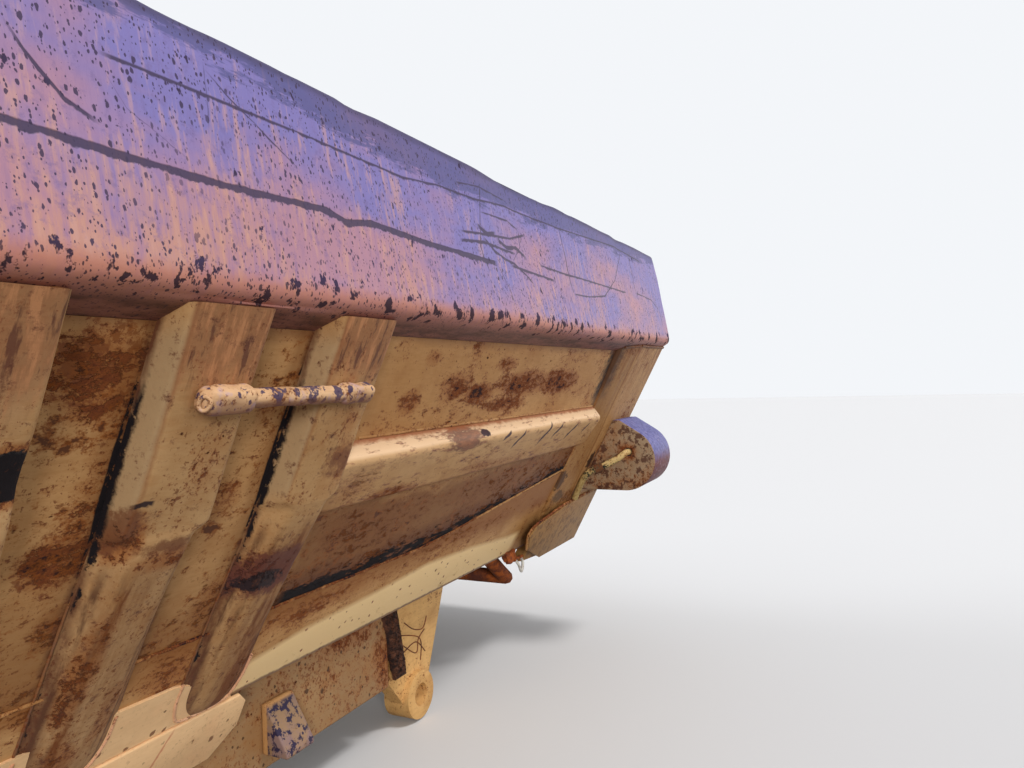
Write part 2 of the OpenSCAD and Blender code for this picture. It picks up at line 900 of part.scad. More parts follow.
// Pair of lugs beside the beam for a hoist cylinder's upper eye
module hoist_lugs_left() {
    inner = beam_half - beam_w;
    color("goldenrod")
        for (k = [0, 1])
            translate([hoist_x, inner - lug_t - k * (lug_gap + lug_t), 0])
                rotate([90, 0, 0])
                    translate([0, 0, -lug_t])
                        linear_extrude(height = lug_t)
                            difference() {
                                union() {
                                    translate([0, hoist_z])
                                        circle(d = 1.9 * hoist_bore, $fn = 64);
                                    polygon([
                                        [-0.95 * hoist_bore, hoist_z], [-lug_foot / 2, floor_z],
                                        [lug_foot / 2, floor_z], [0.95 * hoist_bore, hoist_z]
                                    ]);
                                }
                                translate([0, hoist_z])
                                    circle(d = hoist_bore, $fn = 64);
                            }
}

// Channels between the beams that carry the floor
module cross_members() {
    first = beam_rear + cross_inset;
    last = beam_front - cross_inset - cross_w;
    half_w = beam_half - beam_w;
    color("goldenrod")
        for (i = [0 : cross_n - 1])
            translate([first + i * (last - first) / (cross_n - 1), -half_w, floor_z - cross_h])
                difference() {
                    cube([cross_w, 2 * half_w, cross_h]);
                    translate([8, -1, 8])
                        cube([cross_w, 2 * half_w + 2, cross_h - 16]);
                }
}

// The ramp's own frame: z = 0 is its underside, and x runs back from the seam
module on_ramp() {
    translate([seam_x, 0, floor_z])
        rotate([0, ramp_slope, 0])
            children();
}

// Bent tube across the tail, whose two legs climb forward to the pads under the ramp
module cross_tube() {
    color("saddlebrown")
        difference() {
            tube_run(tube_d);
            tube_run(tube_d - 2 * tube_t);
            on_ramp()
                translate([-2 * ramp_l, -rail_half, -hanger_t])
                    cube([2 * ramp_l, 2 * rail_half, big]);
        }
}

// The tube's run at diameter d: one length across, a round corner and a leg on each side
module tube_run(d) {
    corner = [tube_x, leg_y, tube_z];
    end = [2 * leg_x - tube_x, leg_y, tube_z + 2 * (leg_x - tube_x) * tan(leg_slope)];
    tube_length(d, corner, [tube_x, -leg_y, tube_z]);
    tube_length(d, corner, end);
    mirror([0, 1, 0])
        tube_length(d, corner, end);
}

// A straight length of tube with round ends at p and q
module tube_length(d, p, q) {
    hull() {
        translate(p)
            sphere(d = d, $fn = 20);
        translate(q)
            sphere(d = d, $fn = 20);
    }
}

// Pad with round corners between the tube's leg and the ramp
module tube_hanger_left() {
    color("saddlebrown")
        on_ramp()
            translate([(leg_x - seam_x) / cos(ramp_slope), leg_y, -hanger_t])
                linear_extrude(height = hanger_t)
                    offset(r = 12, $fn = 24)
                        square([hanger_l - 24, tube_d + 26], center = true);
}

// Leaning front wall between the side walls
module headboard() {
    color("burlywood")
        difference() {
            intersection() {
                along_x(0, front_x)
                    inside_section(top_z);
                headboard_slab(0, wall_t);
            }
            below(floor_z + floor_t);
        }
}

// Stiffeners and top rail on the front of the headboard
module headboard_frame() {
    len_up = (top_z - floor_z) / cos(head_lean);
    z1 = len_up - head_rail_h;
    color("goldenrod")
        translate([floor_reach, 0, floor_z])
            rotate([0, head_lean, 0]) {
                for (side = [-1, 0, 1])
                    translate([0, side * 0.57 * head_half - head_rib_w / 2, 0])
                        difference() {
                            cube([head_rib_d, head_rib_w, z1]);
                            translate([-wall_t, wall_t, -1])
                                cube([head_rib_d, head_rib_w - 2 * wall_t, z1 + 2]);
                        }
                translate([0, -head_half, z1])
                    difference() {
                        cube([head_rail_d, 2 * head_half, head_rail_h]);
                        translate([wall_t, -1, wall_t])
                            cube([head_rail_d - 2 * wall_t, 2 * head_half + 2, head_rail_h - 2 * wall_t]);
                    }
            }
}

// Plate above the headboard that keeps rocks off the cab
module spill_guard() {
    len_up = (top_z - floor_z) / cos(head_lean);
    half = [[head_half, 0], [head_half, 0.2 * spill_h], [head_half - 0.9 * spill_h, spill_h]];
    color("burlywood")
        translate([floor_reach, 0, floor_z])
            rotate([0, head_lean, 0])
                translate([0, 0, len_up])
                    rotate([90, 0, 90])
                        linear_extrude(height = wall_t)
                            polygon(concat(half, [for (i = [2 : -1 : 0]) [-half[i].x, half[i].y]]));
}

floor_plate();
tail_ramp();
tail_bolster();
tail_lip();
sill_left();
on_right() sill_left();  // sill_right
side_wall_left();
on_right() side_wall_left();  // side_wall_right
rail_left();
on_right() rail_left();  // rail_right
rail_caps_left();
on_right() rail_caps_left();  // rail_caps_right
for (i = [1 : 7]) {
    rib_left(i);
    on_right() rib_left(i);
}
waist_rib_left();
on_right() waist_rib_left();  // waist_rib_right
rear_post_left();
on_right() rear_post_left();  // rear_post_right
front_post_left();
on_right() front_post_left();  // front_post_right
post_shoe_left();
on_right() post_shoe_left();  // post_shoe_right
lamp_guard_left();
on_right() lamp_guard_left();  // lamp_guard_right
tail_lamp_left();
on_right() tail_lamp_left();  // tail_lamp_right
conduit_left();
on_right() conduit_left();  // conduit_right
step_left();
on_right() step_left();  // step_right
skirt_left();
on_right() skirt_left();  // skirt_right
beam_left();
on_right() beam_left();  // beam_right
guide_left();
on_right() guide_left();  // guide_right
hinge_left();
on_right() hinge_left();  // hinge_right
hoist_lugs_left();
on_right() hoist_lugs_left();  // hoist_lugs_right
cross_members();
cross_tube();
tube_hanger_left();
on_right() tube_hanger_left();  // tube_hanger_right
headboard();
headboard_frame();
spill_guard();
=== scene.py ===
import math

import bmesh
import bpy
from mathutils import Matrix, Vector, noise


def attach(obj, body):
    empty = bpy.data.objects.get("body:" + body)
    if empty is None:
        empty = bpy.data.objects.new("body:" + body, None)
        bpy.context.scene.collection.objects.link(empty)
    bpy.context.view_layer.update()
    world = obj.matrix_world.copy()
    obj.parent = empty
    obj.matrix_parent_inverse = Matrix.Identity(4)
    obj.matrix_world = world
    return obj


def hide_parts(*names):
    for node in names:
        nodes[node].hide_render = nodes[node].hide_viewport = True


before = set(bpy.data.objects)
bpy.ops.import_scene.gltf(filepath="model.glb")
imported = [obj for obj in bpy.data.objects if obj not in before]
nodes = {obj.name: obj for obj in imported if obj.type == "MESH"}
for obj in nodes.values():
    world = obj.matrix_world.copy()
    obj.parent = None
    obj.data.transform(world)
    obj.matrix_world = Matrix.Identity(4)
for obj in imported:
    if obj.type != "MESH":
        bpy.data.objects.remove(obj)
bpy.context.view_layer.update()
scene = bpy.context.scene


# Studio: a pale floor just under the hinge eyes, a soft lamp high on the left that lets the
# top rail shade the wall as in the photograph, weaker ones from the tail and the right, and a
# camera at eye level beside the left ribs that looks back along the rail.
class Wire:
    """A value in a node tree. Arithmetic on it adds Math nodes to the tree."""

    def __init__(self, tree, socket):
        self.tree = tree
        self.socket = socket

    def math(self, operation, *values, clamp=False):
        made = self.tree.nodes.new("ShaderNodeMath")
        made.operation = operation
        made.use_clamp = clamp
        for slot, value in zip(made.inputs, values):
            if isinstance(value, Wire):
                self.tree.links.new(value.socket, slot)
            else:
                slot.default_value = value
        return Wire(self.tree, made.outputs[0])

    def __add__(self, other):
        return self.math("ADD", self, other)

    __radd__ = __add__

    def __sub__(self, other):
        return self.math("SUBTRACT", self, other)

    def __rsub__(self, other):
        return self.math("SUBTRACT", other, self)

    def __mul__(self, other):
        return self.math("MULTIPLY", self, other)

    __rmul__ = __mul__

    def __truediv__(self, other):
        return self.math("DIVIDE", self, other)

    def __abs__(self):
        return self.only("ABSOLUTE")

    def only(self, operation):
        """An operation that needs no second value."""
        return self.math(operation, self)

    def beside(self, name):
        """Another output of the node that this value comes from."""
        return Wire(self.tree, self.socket.node.outputs[name])

    def least(self, other):
        return self.math("MINIMUM", self, other)

    def most(self, other):
        return self.math("MAXIMUM", self, other)

    def held(self):
        """The value kept between 0 and 1."""
        return self.math("ADD", self, 0.0, clamp=True)

    def ramp(self, low, high):
        """0 below low and 1 above high, or the other way round where high is lower."""
        return self.math("MULTIPLY", self - low, 1 / (high - low), clamp=True)


class Nodes:
    """A node tree, and the one way in which a node is added to it."""

    def __init__(self, tree):
        self.tree = tree
        self.tree.nodes.clear()

    def node(self, kind, settings=None, values=None, out=0):
        """Adds a node: its settings come first, then the values or links of its sockets."""
        made = self.tree.nodes.new(kind)
        for key, value in (settings or {}).items():
            setattr(made, key, value)
        for key, value in (values or {}).items():
            slot = made.inputs[key] if isinstance(key, int) else self.slot(made, key)
            if isinstance(value, Wire):
                self.tree.links.new(value.socket, slot)
            else:
                slot.default_value = value
        return Wire(self.tree, made.outputs[out]) if made.outputs else None

    @staticmethod
    def slot(made, key):
        """The socket with that identifier, or else with that name."""
        for one in made.inputs:
            if one.identifier == key:
                return one
        return made.inputs[key]


scene.view_settings.view_transform = "Standard"
world = bpy.data.worlds.new("pale_room")
scene.world = world
world.use_nodes = True
room = Nodes(world.node_tree)
room_light = room.node(
    "ShaderNodeBackground", values={"Color": (0.95, 0.97, 1.0, 1), "Strength": 0.56}
)
room_seen = room.node(
    "ShaderNodeBackground", values={"Color": (0.90, 0.92, 0.95, 1), "Strength": 1.0}
)
room_ray = room.node("ShaderNodeLightPath", out="Is Camera Ray")
room_mix = room.node("ShaderNodeMixShader", values={0: room_ray, 1: room_light, 2: room_seen})
room.node("ShaderNodeOutputWorld", values={"Surface": room_mix})


def lamp(name, direction, strength, width, colour):
    """A distant soft lamp that shines along a direction."""
    data = bpy.data.lights.new(name, "SUN")
    data.energy = strength
    data.angle = math.radians(width)
    data.color = colour
    thing = bpy.data.objects.new(name, data)
    thing.rotation_euler = Vector(direction).to_track_quat("-Z", "Y").to_euler()
    scene.collection.objects.link(thing)


lamp("key_lamp", (0.10, -0.52, -0.85), 1.45, 12, (1.0, 0.96, 0.92))
lamp("side_lamp", (-0.74, -0.60, -0.22), 1.55, 16, (1.0, 0.95, 0.88))
lamp("tail_light", (0.88, -0.40, -0.10), 0.45, 30, (1.0, 0.93, 0.82))
lamp("right_lamp", (-0.35, 0.80, -0.45), 1.1, 40, (0.96, 0.97, 1.0))

camera_data = bpy.data.cameras.new("photo_camera")
camera_data.sensor_width = 36
camera_data.lens = 27.04
camera = bpy.data.objects.new("photo_camera", camera_data)
eye = Vector((2.080, 2.020, 1.000))
right = Vector((-0.4246, 0.9049, -0.0305)).normalized()
ahead = Vector((-0.9052, -0.4250, -0.0077)).normalized()
top = right.cross(ahead)
turn = Matrix((right, top, -ahead)).transposed().to_4x4()
camera.matrix_world = Matrix.Translation(eye) @ turn
scene.collection.objects.link(camera)
scene.camera = camera


# Side walls and sills: bent plates of 8 mm steel between the top rail and the heavier sill
# plates that run along the floor, brushed ochre-yellow, chalky and streaked by rain. Rust
# blooms on the upper panel and eats along the sill's seam, and the inside is scoured bare.
def from_screen(red, green, blue):
    """A colour as read off a screen, 0 to 255, turned into light values."""
    return tuple(
        (c / 255 / 12.92 if c < 10.5 else ((c / 255 + 0.055) / 1.055) ** 2.4)
        for c in (red, green, blue)
    ) + (1.0,)


class Finish(Nodes):
    """One material and the few kinds of node that this object's finishes need."""

    def __init__(self, name, seed=0.0):
        self.material = bpy.data.materials.new(name)
        self.material.use_nodes = True
        super().__init__(self.material.node_tree)
        self.seed = seed
        self.place = self.node("ShaderNodeTexCoord", out="Object")
        self.x, self.y, self.z = (self.axis(which) for which in range(3))
        self.wobble = self.noise(42, 3, 0.65, 90) - 0.5

    def axis(self, which, place=None):
        """One coordinate of a place, the object's own place if none is given."""
        return self.node("ShaderNodeSeparateXYZ", values={0: place or self.place}, out=which)

    def facing(self, which):
        """How far the surface faces along one axis, from -1 to 1."""
        return self.axis(which, self.node("ShaderNodeNewGeometry", out="Normal"))

    def outward(self):
        """How far the surface faces away from the body's middle, from -1 to 1."""
        return self.facing(1) * self.y.only("SIGN")

    def noise(self, scale, detail=4.0, rough=0.55, seed=0.0, stretch=(1, 1, 1)):
        """Soft noise, about 0.5 on average, its grain stretched along the axes."""
        moved = self.seed * 3.7 + seed * 1.3
        place = self.node(
            "ShaderNodeVectorMath",
            {"operation": "MULTIPLY_ADD"},
            {0: self.place, 1: stretch, 2: (moved, moved * 0.7, -moved)},
        )
        return self.node(
            "ShaderNodeTexNoise",
            values={"Vector": place, "Scale": scale, "Detail": detail, "Roughness": rough},
        )

    def specks(self, scale, share, seed=0.0, stretch=(1, 1, 1), reach=0.40):
        """Ragged spots of mixed sizes: 1 in their middles, in a share of the cells only."""
        moved = self.seed * 2.9 + seed * 1.7
        place = self.node(
            "ShaderNodeVectorMath",
            {"operation": "MULTIPLY_ADD"},
            {0: self.place, 1: stretch, 2: (moved, -moved, moved * 0.6)},
        )
        distance = self.node(
            "ShaderNodeTexVoronoi", values={"Vector": place, "Scale": scale}, out="Distance"
        )
        lot = self.axis(0, distance.beside("Color"))
        size = lot.ramp(1.0 - share, 1.0)
        ragged = self.noise(scale * 1.7, 2, 0.6, seed + 50, stretch) - 0.5
        return (size * reach - distance + ragged * 0.55).ramp(0.0, 0.06) * size.ramp(0.0, 0.02)

    def patch(self, x, z, wide, high, amount=1.0):
        """A soft patch round a place in the side view, 1 in its middle and 0 at its rim."""
        across = (self.x - x) / wide
        up = (self.z - z) / high
        return (1 - (across * across + up * up)).held() * amount

    def patches(self, *each):
        """The strongest of several patches."""
        made = self.patch(*each[0])
        for one in each[1:]:
            made = made.most(self.patch(*one))
        return made

    def track(self, points, upright=False):
        """The line through points in the side view: its height at each x, or x at each z."""
        pairs = sorted((z, x) if upright else (x, z) for x, z in points)
        first, last = pairs[0][0], pairs[-1][0]
        low = min(value for _, value in pairs) - 0.01
        high = max(value for _, value in pairs) + 0.01
        along = self.z if upright else self.x
        share = ((along - first) / (last - first)).held()
        line = self.node("ShaderNodeFloatCurve", values={1: share})
        mapping = line.socket.node.mapping
        curve = mapping.curves[0]
        while len(curve.points) < len(pairs):
            curve.points.new(0.5, 0.5)
        for point, (where, value) in zip(curve.points, pairs):
            point.location = ((where - first) / (last - first), (value - low) / (high - low))
            point.handle_type = "VECTOR"
        mapping.update()
        return line * (high - low) + low

    def stroke(self, points, half, upright=False, ragged=1.0):
        """1 on a ragged line through points in the side view, half as wide on each side."""
        line = self.track(points, upright)
        along, across = (self.z, self.x) if upright else (self.x, self.z)
        ends = [z if upright else x for x, z in points]
        first, last = min(ends), max(ends)
        gap = abs(across - line + self.wobble * 0.006 * ragged)
        mask = (half + self.wobble * half * 1.6 * ragged - gap).ramp(0.0, 0.0022)
        fade = min(0.02, (last - first) * 0.15)
        return mask * (along - first).ramp(0.0, fade) * (along - last).ramp(0.0, -fade)

    def strokes(self, *each):
        """The strongest of several strokes."""
        made = self.stroke(*each[0])
        for one in each[1:]:
            made = made.most(self.stroke(*one))
        return made

    def blend(self, amount, below, above):
        """The colour below covered with the colour above by an amount from 0 to 1."""
        return self.node(
            "ShaderNodeMix",
            {"data_type": "RGBA", "clamp_factor": True},
            {"Factor_Float": amount, "A_Color": below, "B_Color": above},
            out=2,
        )

    def rusted(self, colour, level):
        """Covers a colour where level is high: a stain first, then rust, then a dark core."""
        grain = self.noise(170, 3, 0.7, 60) - 0.5
        level = level + grain * 0.13
        hard = level.ramp(0.630, 0.675)
        tint = self.blend((grain + 0.5).ramp(0.42, 0.60), RUST, from_screen(146, 84, 44))
        colour = self.blend(level.ramp(0.50, 0.64) * 0.55, colour, STAIN)
        colour = self.blend((grain + (level - 0.60) * 0.9).ramp(0.02, 0.05) * 0.8, colour, RUST)
        colour = self.blend(hard, colour, tint)
        return self.blend((level + grain * 0.1).ramp(0.73, 0.80), colour, CORE), hard

    def done(self, colour, rough, bump, height=0.001, metal=0.0):
        """Closes the material with its colour, roughness and a relief height in metres."""
        normal = self.node(
            "ShaderNodeBump", values={"Height": bump, "Distance": height, "Strength": 1.0}
        )
        shader = self.node(
            "ShaderNodeBsdfPrincipled",
            values={
                "Base Color": colour, "Roughness": rough, "Metallic": metal, "Normal": normal,
                "Specular IOR Level": DULL_GLOSS,
            },
        )
        self.node("ShaderNodeOutputMaterial", values={"Surface": shader})
        return self.material


OCHRE = from_screen(186, 138, 86)
OCHRE_PALE = from_screen(204, 160, 110)
OCHRE_DIRTY = from_screen(156, 102, 50)
SALMON = from_screen(226, 150, 108)
STAIN = from_screen(150, 86, 36)
RUST = from_screen(116, 62, 36)
CORE = from_screen(44, 24, 26)
DRIP = from_screen(136, 84, 44)
NAVY = from_screen(62, 50, 80)
SCOURED = from_screen(126, 104, 88)
BLACK = from_screen(20, 14, 18)
DULL_GLOSS = 0.22
# The sides: name, sign of y, and a number that gives each side its own random marks
SIDES = (("left", 1, 0.0), ("right", -1, 40.0))


def aged(
    name, seed, marks=None, base=OCHRE, pale=OCHRE_PALE, streaked=0.5, pitted=0.0, finish=None,
    drawn=1.0,
):
    """Aged body paint. Marks gives this piece's own rust, finish its own last colours."""
    paint = Finish(name, seed)
    wide = paint.noise(1.9, 3, 0.5, 1)
    middle = paint.noise(11, 4, 0.6, 2)
    fine = paint.noise(75, 3, 0.6, 3)
    drips = paint.noise(1.0, 4, 0.6, 4, (34, 10, 2.4))
    colour = paint.blend(wide.ramp(0.36, 0.66), base, pale)
    colour = paint.blend(middle.ramp(0.46, 0.72) * 0.45, colour, OCHRE_DIRTY)
    colour = paint.blend(drips.ramp(0.50, 0.72) * streaked, colour, DRIP)
    brush = paint.noise(1.0, 3, 0.6, 8, (24, 120, 120))
    colour = paint.blend(brush.ramp(0.52, 0.40) * 0.16, colour, OCHRE_DIRTY)
    grit = paint.noise(54, 6, 0.72, 5, (drawn, 1, 1))
    crowd = paint.noise(5.5, 4, 0.62, 6, (drawn, 1, 1))
    level = grit + (crowd - 0.5) * 0.62 - 0.035 + pitted
    if marks:
        own = marks(paint)
        level = level + own * 0.19 - 0.015
        colour = paint.blend(
            (own * 1.1 + (crowd - 0.5) * 2.0).ramp(0.25, 1.0) * 0.62, colour, STAIN
        )
    colour, rust = paint.rusted(colour, level)
    flecks = paint.noise(92, 3, 0.6, 9, (drawn, 1, 1)).ramp(0.63, 0.67) * crowd.ramp(0.42, 0.56)
    colour = paint.blend(flecks * 0.75, colour, from_screen(112, 62, 30))
    dots = paint.specks(52, 0.22, 7, (drawn, 1, 1), 0.22) * crowd.ramp(0.36, 0.52)
    colour = paint.blend(dots, colour, from_screen(84, 46, 28))
    relief = middle * 0.35 + fine * 0.14 + brush * 0.16 - rust * (0.25 + fine * 0.8)
    rust = rust.most(dots)
    rough = 0.52 + rust * 0.36 + fine * 0.10
    if finish:
        colour, rough = finish(paint, colour, rough, rust)
    return paint.done(colour, rough, relief, 0.0026)


def smoothed(data, angle=38):
    """Shades a mesh smooth, with hard edges where two faces meet at more than an angle."""
    data.shade_smooth()
    data.set_sharp_from_angle(angle=math.radians(angle))


def piece(name, made, materials, stands_for=(), sign=1, angle=38):
    """A new piece of the body from a finished bmesh. On the right it is the mirror image."""
    if sign < 0:
        bmesh.ops.scale(made, vec=(1, -1, 1), verts=made.verts)
    bmesh.ops.recalc_face_normals(made, faces=made.faces)
    data = bpy.data.meshes.new(name)
    made.to_mesh(data)
    made.free()
    for material in materials:
        data.materials.append(material)
    smoothed(data, angle)
    thing = bpy.data.objects.new(name, data)
    scene.collection.objects.link(thing)
    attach(thing, "root")
    if stands_for:
        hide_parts(*stands_for)
    return thing


def softened(node, width, material, segments=2):
    """A node's own form with its edges rounded off, as on rolled and worn plate."""
    made = bmesh.new()
    made.from_mesh(nodes[node].data)
    bmesh.ops.remove_doubles(made, verts=made.verts, dist=0.0001)
    bmesh.ops.dissolve_limit(
        made, angle_limit=math.radians(1), verts=made.verts, edges=made.edges
    )
    edges = [
        edge
        for edge in made.edges
        if len(edge.link_faces) == 2 and edge.calc_face_angle() > math.radians(25)
    ]
    bmesh.ops.bevel(
        made,
        geom=edges,
        offset=width,
        segments=segments,
        profile=0.6,
        affect="EDGES",
        clamp_overlap=True,
    )
    return piece("worn_" + node, made, [material], [node])


FIRST_RIB = 0.955
RIB_PITCH = 0.318
KNUCKLE_Y, KNUCKLE_Z = 1.0295, 0.80
UPPER_SLOPE = math.tan(math.radians(25.1))
LOWER_SLOPE = math.tan(math.radians(29.7))


def wall_line(z):
    """How far the wall's outer face stands from the body's middle at a height."""
    return KNUCKLE_Y + (z - KNUCKLE_Z) * (UPPER_SLOPE if z > KNUCKLE_Z else LOWER_SLOPE)


def rib_local(paint):
    """How far a place stands forward of the middle of the nearest rib."""
    turn = (paint.x - FIRST_RIB) / RIB_PITCH + 0.5
    return (turn.only("FRACT") - 0.5) * RIB_PITCH


def wall_marks(paint):
    """Rust that blooms on the upper panel, and more low down and beside the ribs."""
    bloom = paint.patches(
        (0.47, 0.985, 0.10, 0.045), (0.22, 1.035, 0.08, 0.03), (0.06, 0.985, 0.24, 0.050, 1.4),
        (-0.20, 0.985, 0.22, 0.050, 1.5), (-0.42, 0.95, 0.10, 0.03, 0.7),
        (0.33, 0.962, 0.10, 0.034, 1.3), (0.14, 0.930, 0.16, 0.026, 1.3),
        (0.62, 1.05, 0.05, 0.03), (0.66, 0.955, 0.06, 0.04),
    )
    low = paint.patches(
        (0.55, 0.66, 0.34, 0.09, 0.75), (0.0, 0.67, 0.5, 0.07, 0.7), (1.06, 0.60, 0.06, 0.09),
        (1.40, 0.77, 0.07, 0.05), (1.34, 0.66, 0.08, 0.06), (1.42, 1.02, 0.09, 0.08, 1.25),
        (1.09, 0.97, 0.04, 0.07, 0.7), (1.12, 0.80, 0.05, 0.06, 0.8), (1.75, 0.80, 0.12, 0.20),
        (-0.62, 0.72, 0.05, 0.06), (1.16, 0.535, 0.08, 0.03, 1.2),
    )
    seam = paint.track(
        ((0.86, 0.545), (0.57, 0.562), (0.19, 0.572), (-0.10, 0.60), (-0.62, 0.66))
    )
    near_seam = (paint.z - seam).ramp(0.11, 0.0) * 0.8
    near = (0.05 - abs(rib_local(paint) - 0.105)).ramp(0.0, 0.03) * paint.z.ramp(0.62, 0.80)
    return bloom.most(low).most(near_seam).most(near * 0.35)


def inside_out(paint, colour, rough, rust):
    """Scoured steel on the faces that look towards the load, paint on the others."""
    bare = paint.outward().ramp(-0.05, -0.25)
    scratch = paint.noise(1.0, 4, 0.7, 31, (4, 60, 60))
    steel = paint.blend(scratch.ramp(0.4, 0.62), SCOURED, from_screen(92, 66, 52))
    steel = paint.blend(paint.noise(7, 5, 0.7, 32).ramp(0.45, 0.6), steel, RUST)
    return paint.blend(bare, colour, steel), rough + bare * (0.45 - rough)


def rib_crack(paint, local, middle):
    """A jagged black crack that follows the front base of a rib down the wall."""
    tear = paint.noise(30, 5, 0.75, 43, (1, 1, 0.7)) - 0.5
    width = paint.z.ramp(1.05, 0.92) * paint.z.ramp(0.71, 0.84) * 0.008 - 0.0015
    crack = (width - abs(local - middle + tear * 0.030) + tear * 0.036).ramp(-0.001, 0.0015)
    crack = crack * paint.z.ramp(1.05, 1.02) * (paint.x - 1.9).ramp(0.0, -0.1)
    return crack * (paint.x - 0.84).ramp(0.0, 0.02)


def wall_look(paint, colour, rough, rust):
    """Painted shade with brown stain under the waist rib, dirt below the knuckle, a black crust on
    the sill's seam, tears beside the ribs, and painted shade by the post and under the rail.
    """
    behind = (paint.x - 0.87).ramp(0.0, -0.04)
    grime = paint.noise(6, 5, 0.66, 42, (0.5, 1, 1)) - 0.5
    # Painted shade with brown stain on the wall under the waist rib, behind the first rib.
    shade = (paint.z + grime * 0.16).ramp(0.765, 0.725) * behind
    colour = paint.blend(shade * 0.74, colour, from_screen(110, 64, 30))
    smear = (paint.z + grime * 0.35).ramp(0.76, 0.60) * (1 - behind)
    colour = paint.blend(smear * 0.50, colour, from_screen(126, 80, 38))
    crust = paint.track(
        ((0.86, 0.545), (0.57, 0.556), (0.19, 0.566), (-0.10, 0.592), (-0.62, 0.65))
    )
    gap = paint.z - crust + paint.wobble * 0.016
    halo = (gap.ramp(0.09, 0.0) + grime * 1.6).ramp(0.35, 0.95) * behind
    colour = paint.blend(halo * 0.85, colour, from_screen(86, 46, 26))
    broken = paint.noise(1.0, 5, 0.72, 41, (12, 12, 46))
    black = gap.ramp(0.040, 0.006) * 0.7 + (broken - 0.5) * 3.2 + paint.x.ramp(-0.3, 0.8) * 0.18
    black = black.ramp(0.58, 0.74) * gap.ramp(0.042, 0.028) * behind
    local = rib_local(paint)
    ribbed = (paint.x - 0.84).ramp(0.0, 0.02)
    dirt = (0.012 - abs(abs(local) - 0.088 + paint.wobble * 0.012)).ramp(0.0, 0.012) * ribbed
    cloud = paint.patches(
        (1.42, 1.02, 0.10, 0.10, 0.20), (1.12, 0.80, 0.06, 0.10, 0.14),
        (1.40, 0.77, 0.08, 0.06, 0.12),
    )
    spread = paint.noise(52, 6, 0.76, 45) + (paint.noise(9, 3, 0.6, 46) - 0.5) * 0.30 + cloud * 0.7
    spread = spread.ramp(0.60, 0.67) * ribbed
    tint = paint.blend(broken.ramp(0.4, 0.6), RUST, from_screen(134, 76, 34))
    colour = paint.blend(spread * 0.80, colour, tint)
    fringe = (0.034 - abs(local - 0.095) + grime * 0.05).ramp(0.0, 0.022) * ribbed
    fringe = fringe * paint.z.ramp(0.62, 0.78)
    colour = paint.blend(fringe * 0.40, colour, from_screen(110, 62, 26))
    spots = paint.noise(34, 5, 0.66, 47, (0.7, 1, 1)) + (paint.noise(6, 3, 0.6, 48) - 0.5) * 0.24
    spotted = ribbed.most(shade)
    colour = paint.blend(spots.ramp(0.56, 0.62) * spotted * 0.75, colour, from_screen(146, 82, 32))
    colour = paint.blend(spots.ramp(0.61, 0.66) * spotted * 0.90, colour, from_screen(82, 44, 24))
    colour = paint.blend(dirt * broken.ramp(0.35, 0.55) * 0.8, colour, from_screen(84, 46, 30))
    # Painted shade with dark rust in the crease beside the post.
    shade_beside_post = (0.070 - (paint.x + 0.648) + paint.wobble * 0.14).ramp(0.0, 0.05)
    shade_beside_post = shade_beside_post * paint.z.ramp(0.84, 0.94)
    colour = paint.blend(shade_beside_post * 0.95, colour, from_screen(34, 20, 22))
    # Painted shade under the rail.
    shade_under_rail = (paint.z + grime * 0.05).ramp(1.070, 1.090)
    colour = paint.blend(shade_under_rail * 0.55, colour, from_screen(112, 66, 40))
    dark = rib_crack(paint, local, 0.089).most(black)
    colour = paint.blend(dark, colour, BLACK)
    return inside_out(paint, colour, rough + dark * 0.3, rust)


def sill_look(paint, colour, rough, rust):
    """A brown upper part, partly painted shade, above a painted sunlit band, and a painted shadow
    line along the lower edge.
    """
    band = paint.track(
        ((0.86, 0.419), (0.70, 0.442), (0.41, 0.457), (0.18, 0.476), (-0.09, 0.463), (-0.40, 0.436))
    )
    # Painted light: a sunlit band along the lower part of the sill.
    lit_band = (band - paint.z + paint.wobble * 0.003).ramp(-0.004, 0.014)
    lit_band = lit_band * (paint.x + 0.52).ramp(0.0, 0.05) * (paint.x - 1.02).ramp(0.0, -0.05)
    kept = paint.noise(54, 6, 0.72, 5).ramp(0.72, 0.66)
    grime = paint.noise(7, 5, 0.68, 42, (0.6, 1, 1)) - 0.5
    # Painted shade, with brown stain, over the upper part of the sill.
    upper = (paint.z - 0.50 + grime * 0.12).ramp(-0.03, 0.03)
    colour = paint.blend(upper * 0.75, colour, from_screen(134, 80, 34))
    colour = paint.blend(lit_band * kept, colour, from_screen(255, 222, 168))
    red = paint.specks(60, 0.34, 44, (1, 1, 1), 0.30)
    colour = paint.blend(lit_band * red, colour, from_screen(136, 66, 50))
    # Painted shadow line along the lower edge.
    edge = (paint.z - 0.356 + paint.wobble * 0.010).ramp(0.0, -0.005)
    colour = paint.blend(edge * 0.8, colour, from_screen(92, 52, 50))
    return inside_out(paint, colour, rough, rust)


def sill_marks(paint):
    """Rust along the sill's seam and between the ribs' feet."""
    return paint.patches(
        (0.60, 0.50, 0.30, 0.04, 0.6), (0.05, 0.535, 0.5, 0.03, 0.6), (1.08, 0.47, 0.09, 0.08, 0.9),
        (1.30, 0.52, 0.10, 0.05, 0.9), (-0.55, 0.53, 0.10, 0.03, 0.8), (1.72, 0.52, 0.15, 0.06),
    )


for side, _, seed in SIDES:
    wall = aged(
        "wall_paint_" + side, seed + 1, wall_marks, streaked=0.10, pitted=0.0, finish=wall_look,
        drawn=0.5,
    )
    nodes["side_wall_" + side].data.materials.clear()
    nodes["side_wall_" + side].data.materials.append(wall)
    sill = aged(
        "sill_paint_" + side, seed + 2, sill_marks, streaked=0.10, pitted=0.0, finish=sill_look,
        drawn=0.5,
    )
    softened("sill_" + side, 0.002, sill)
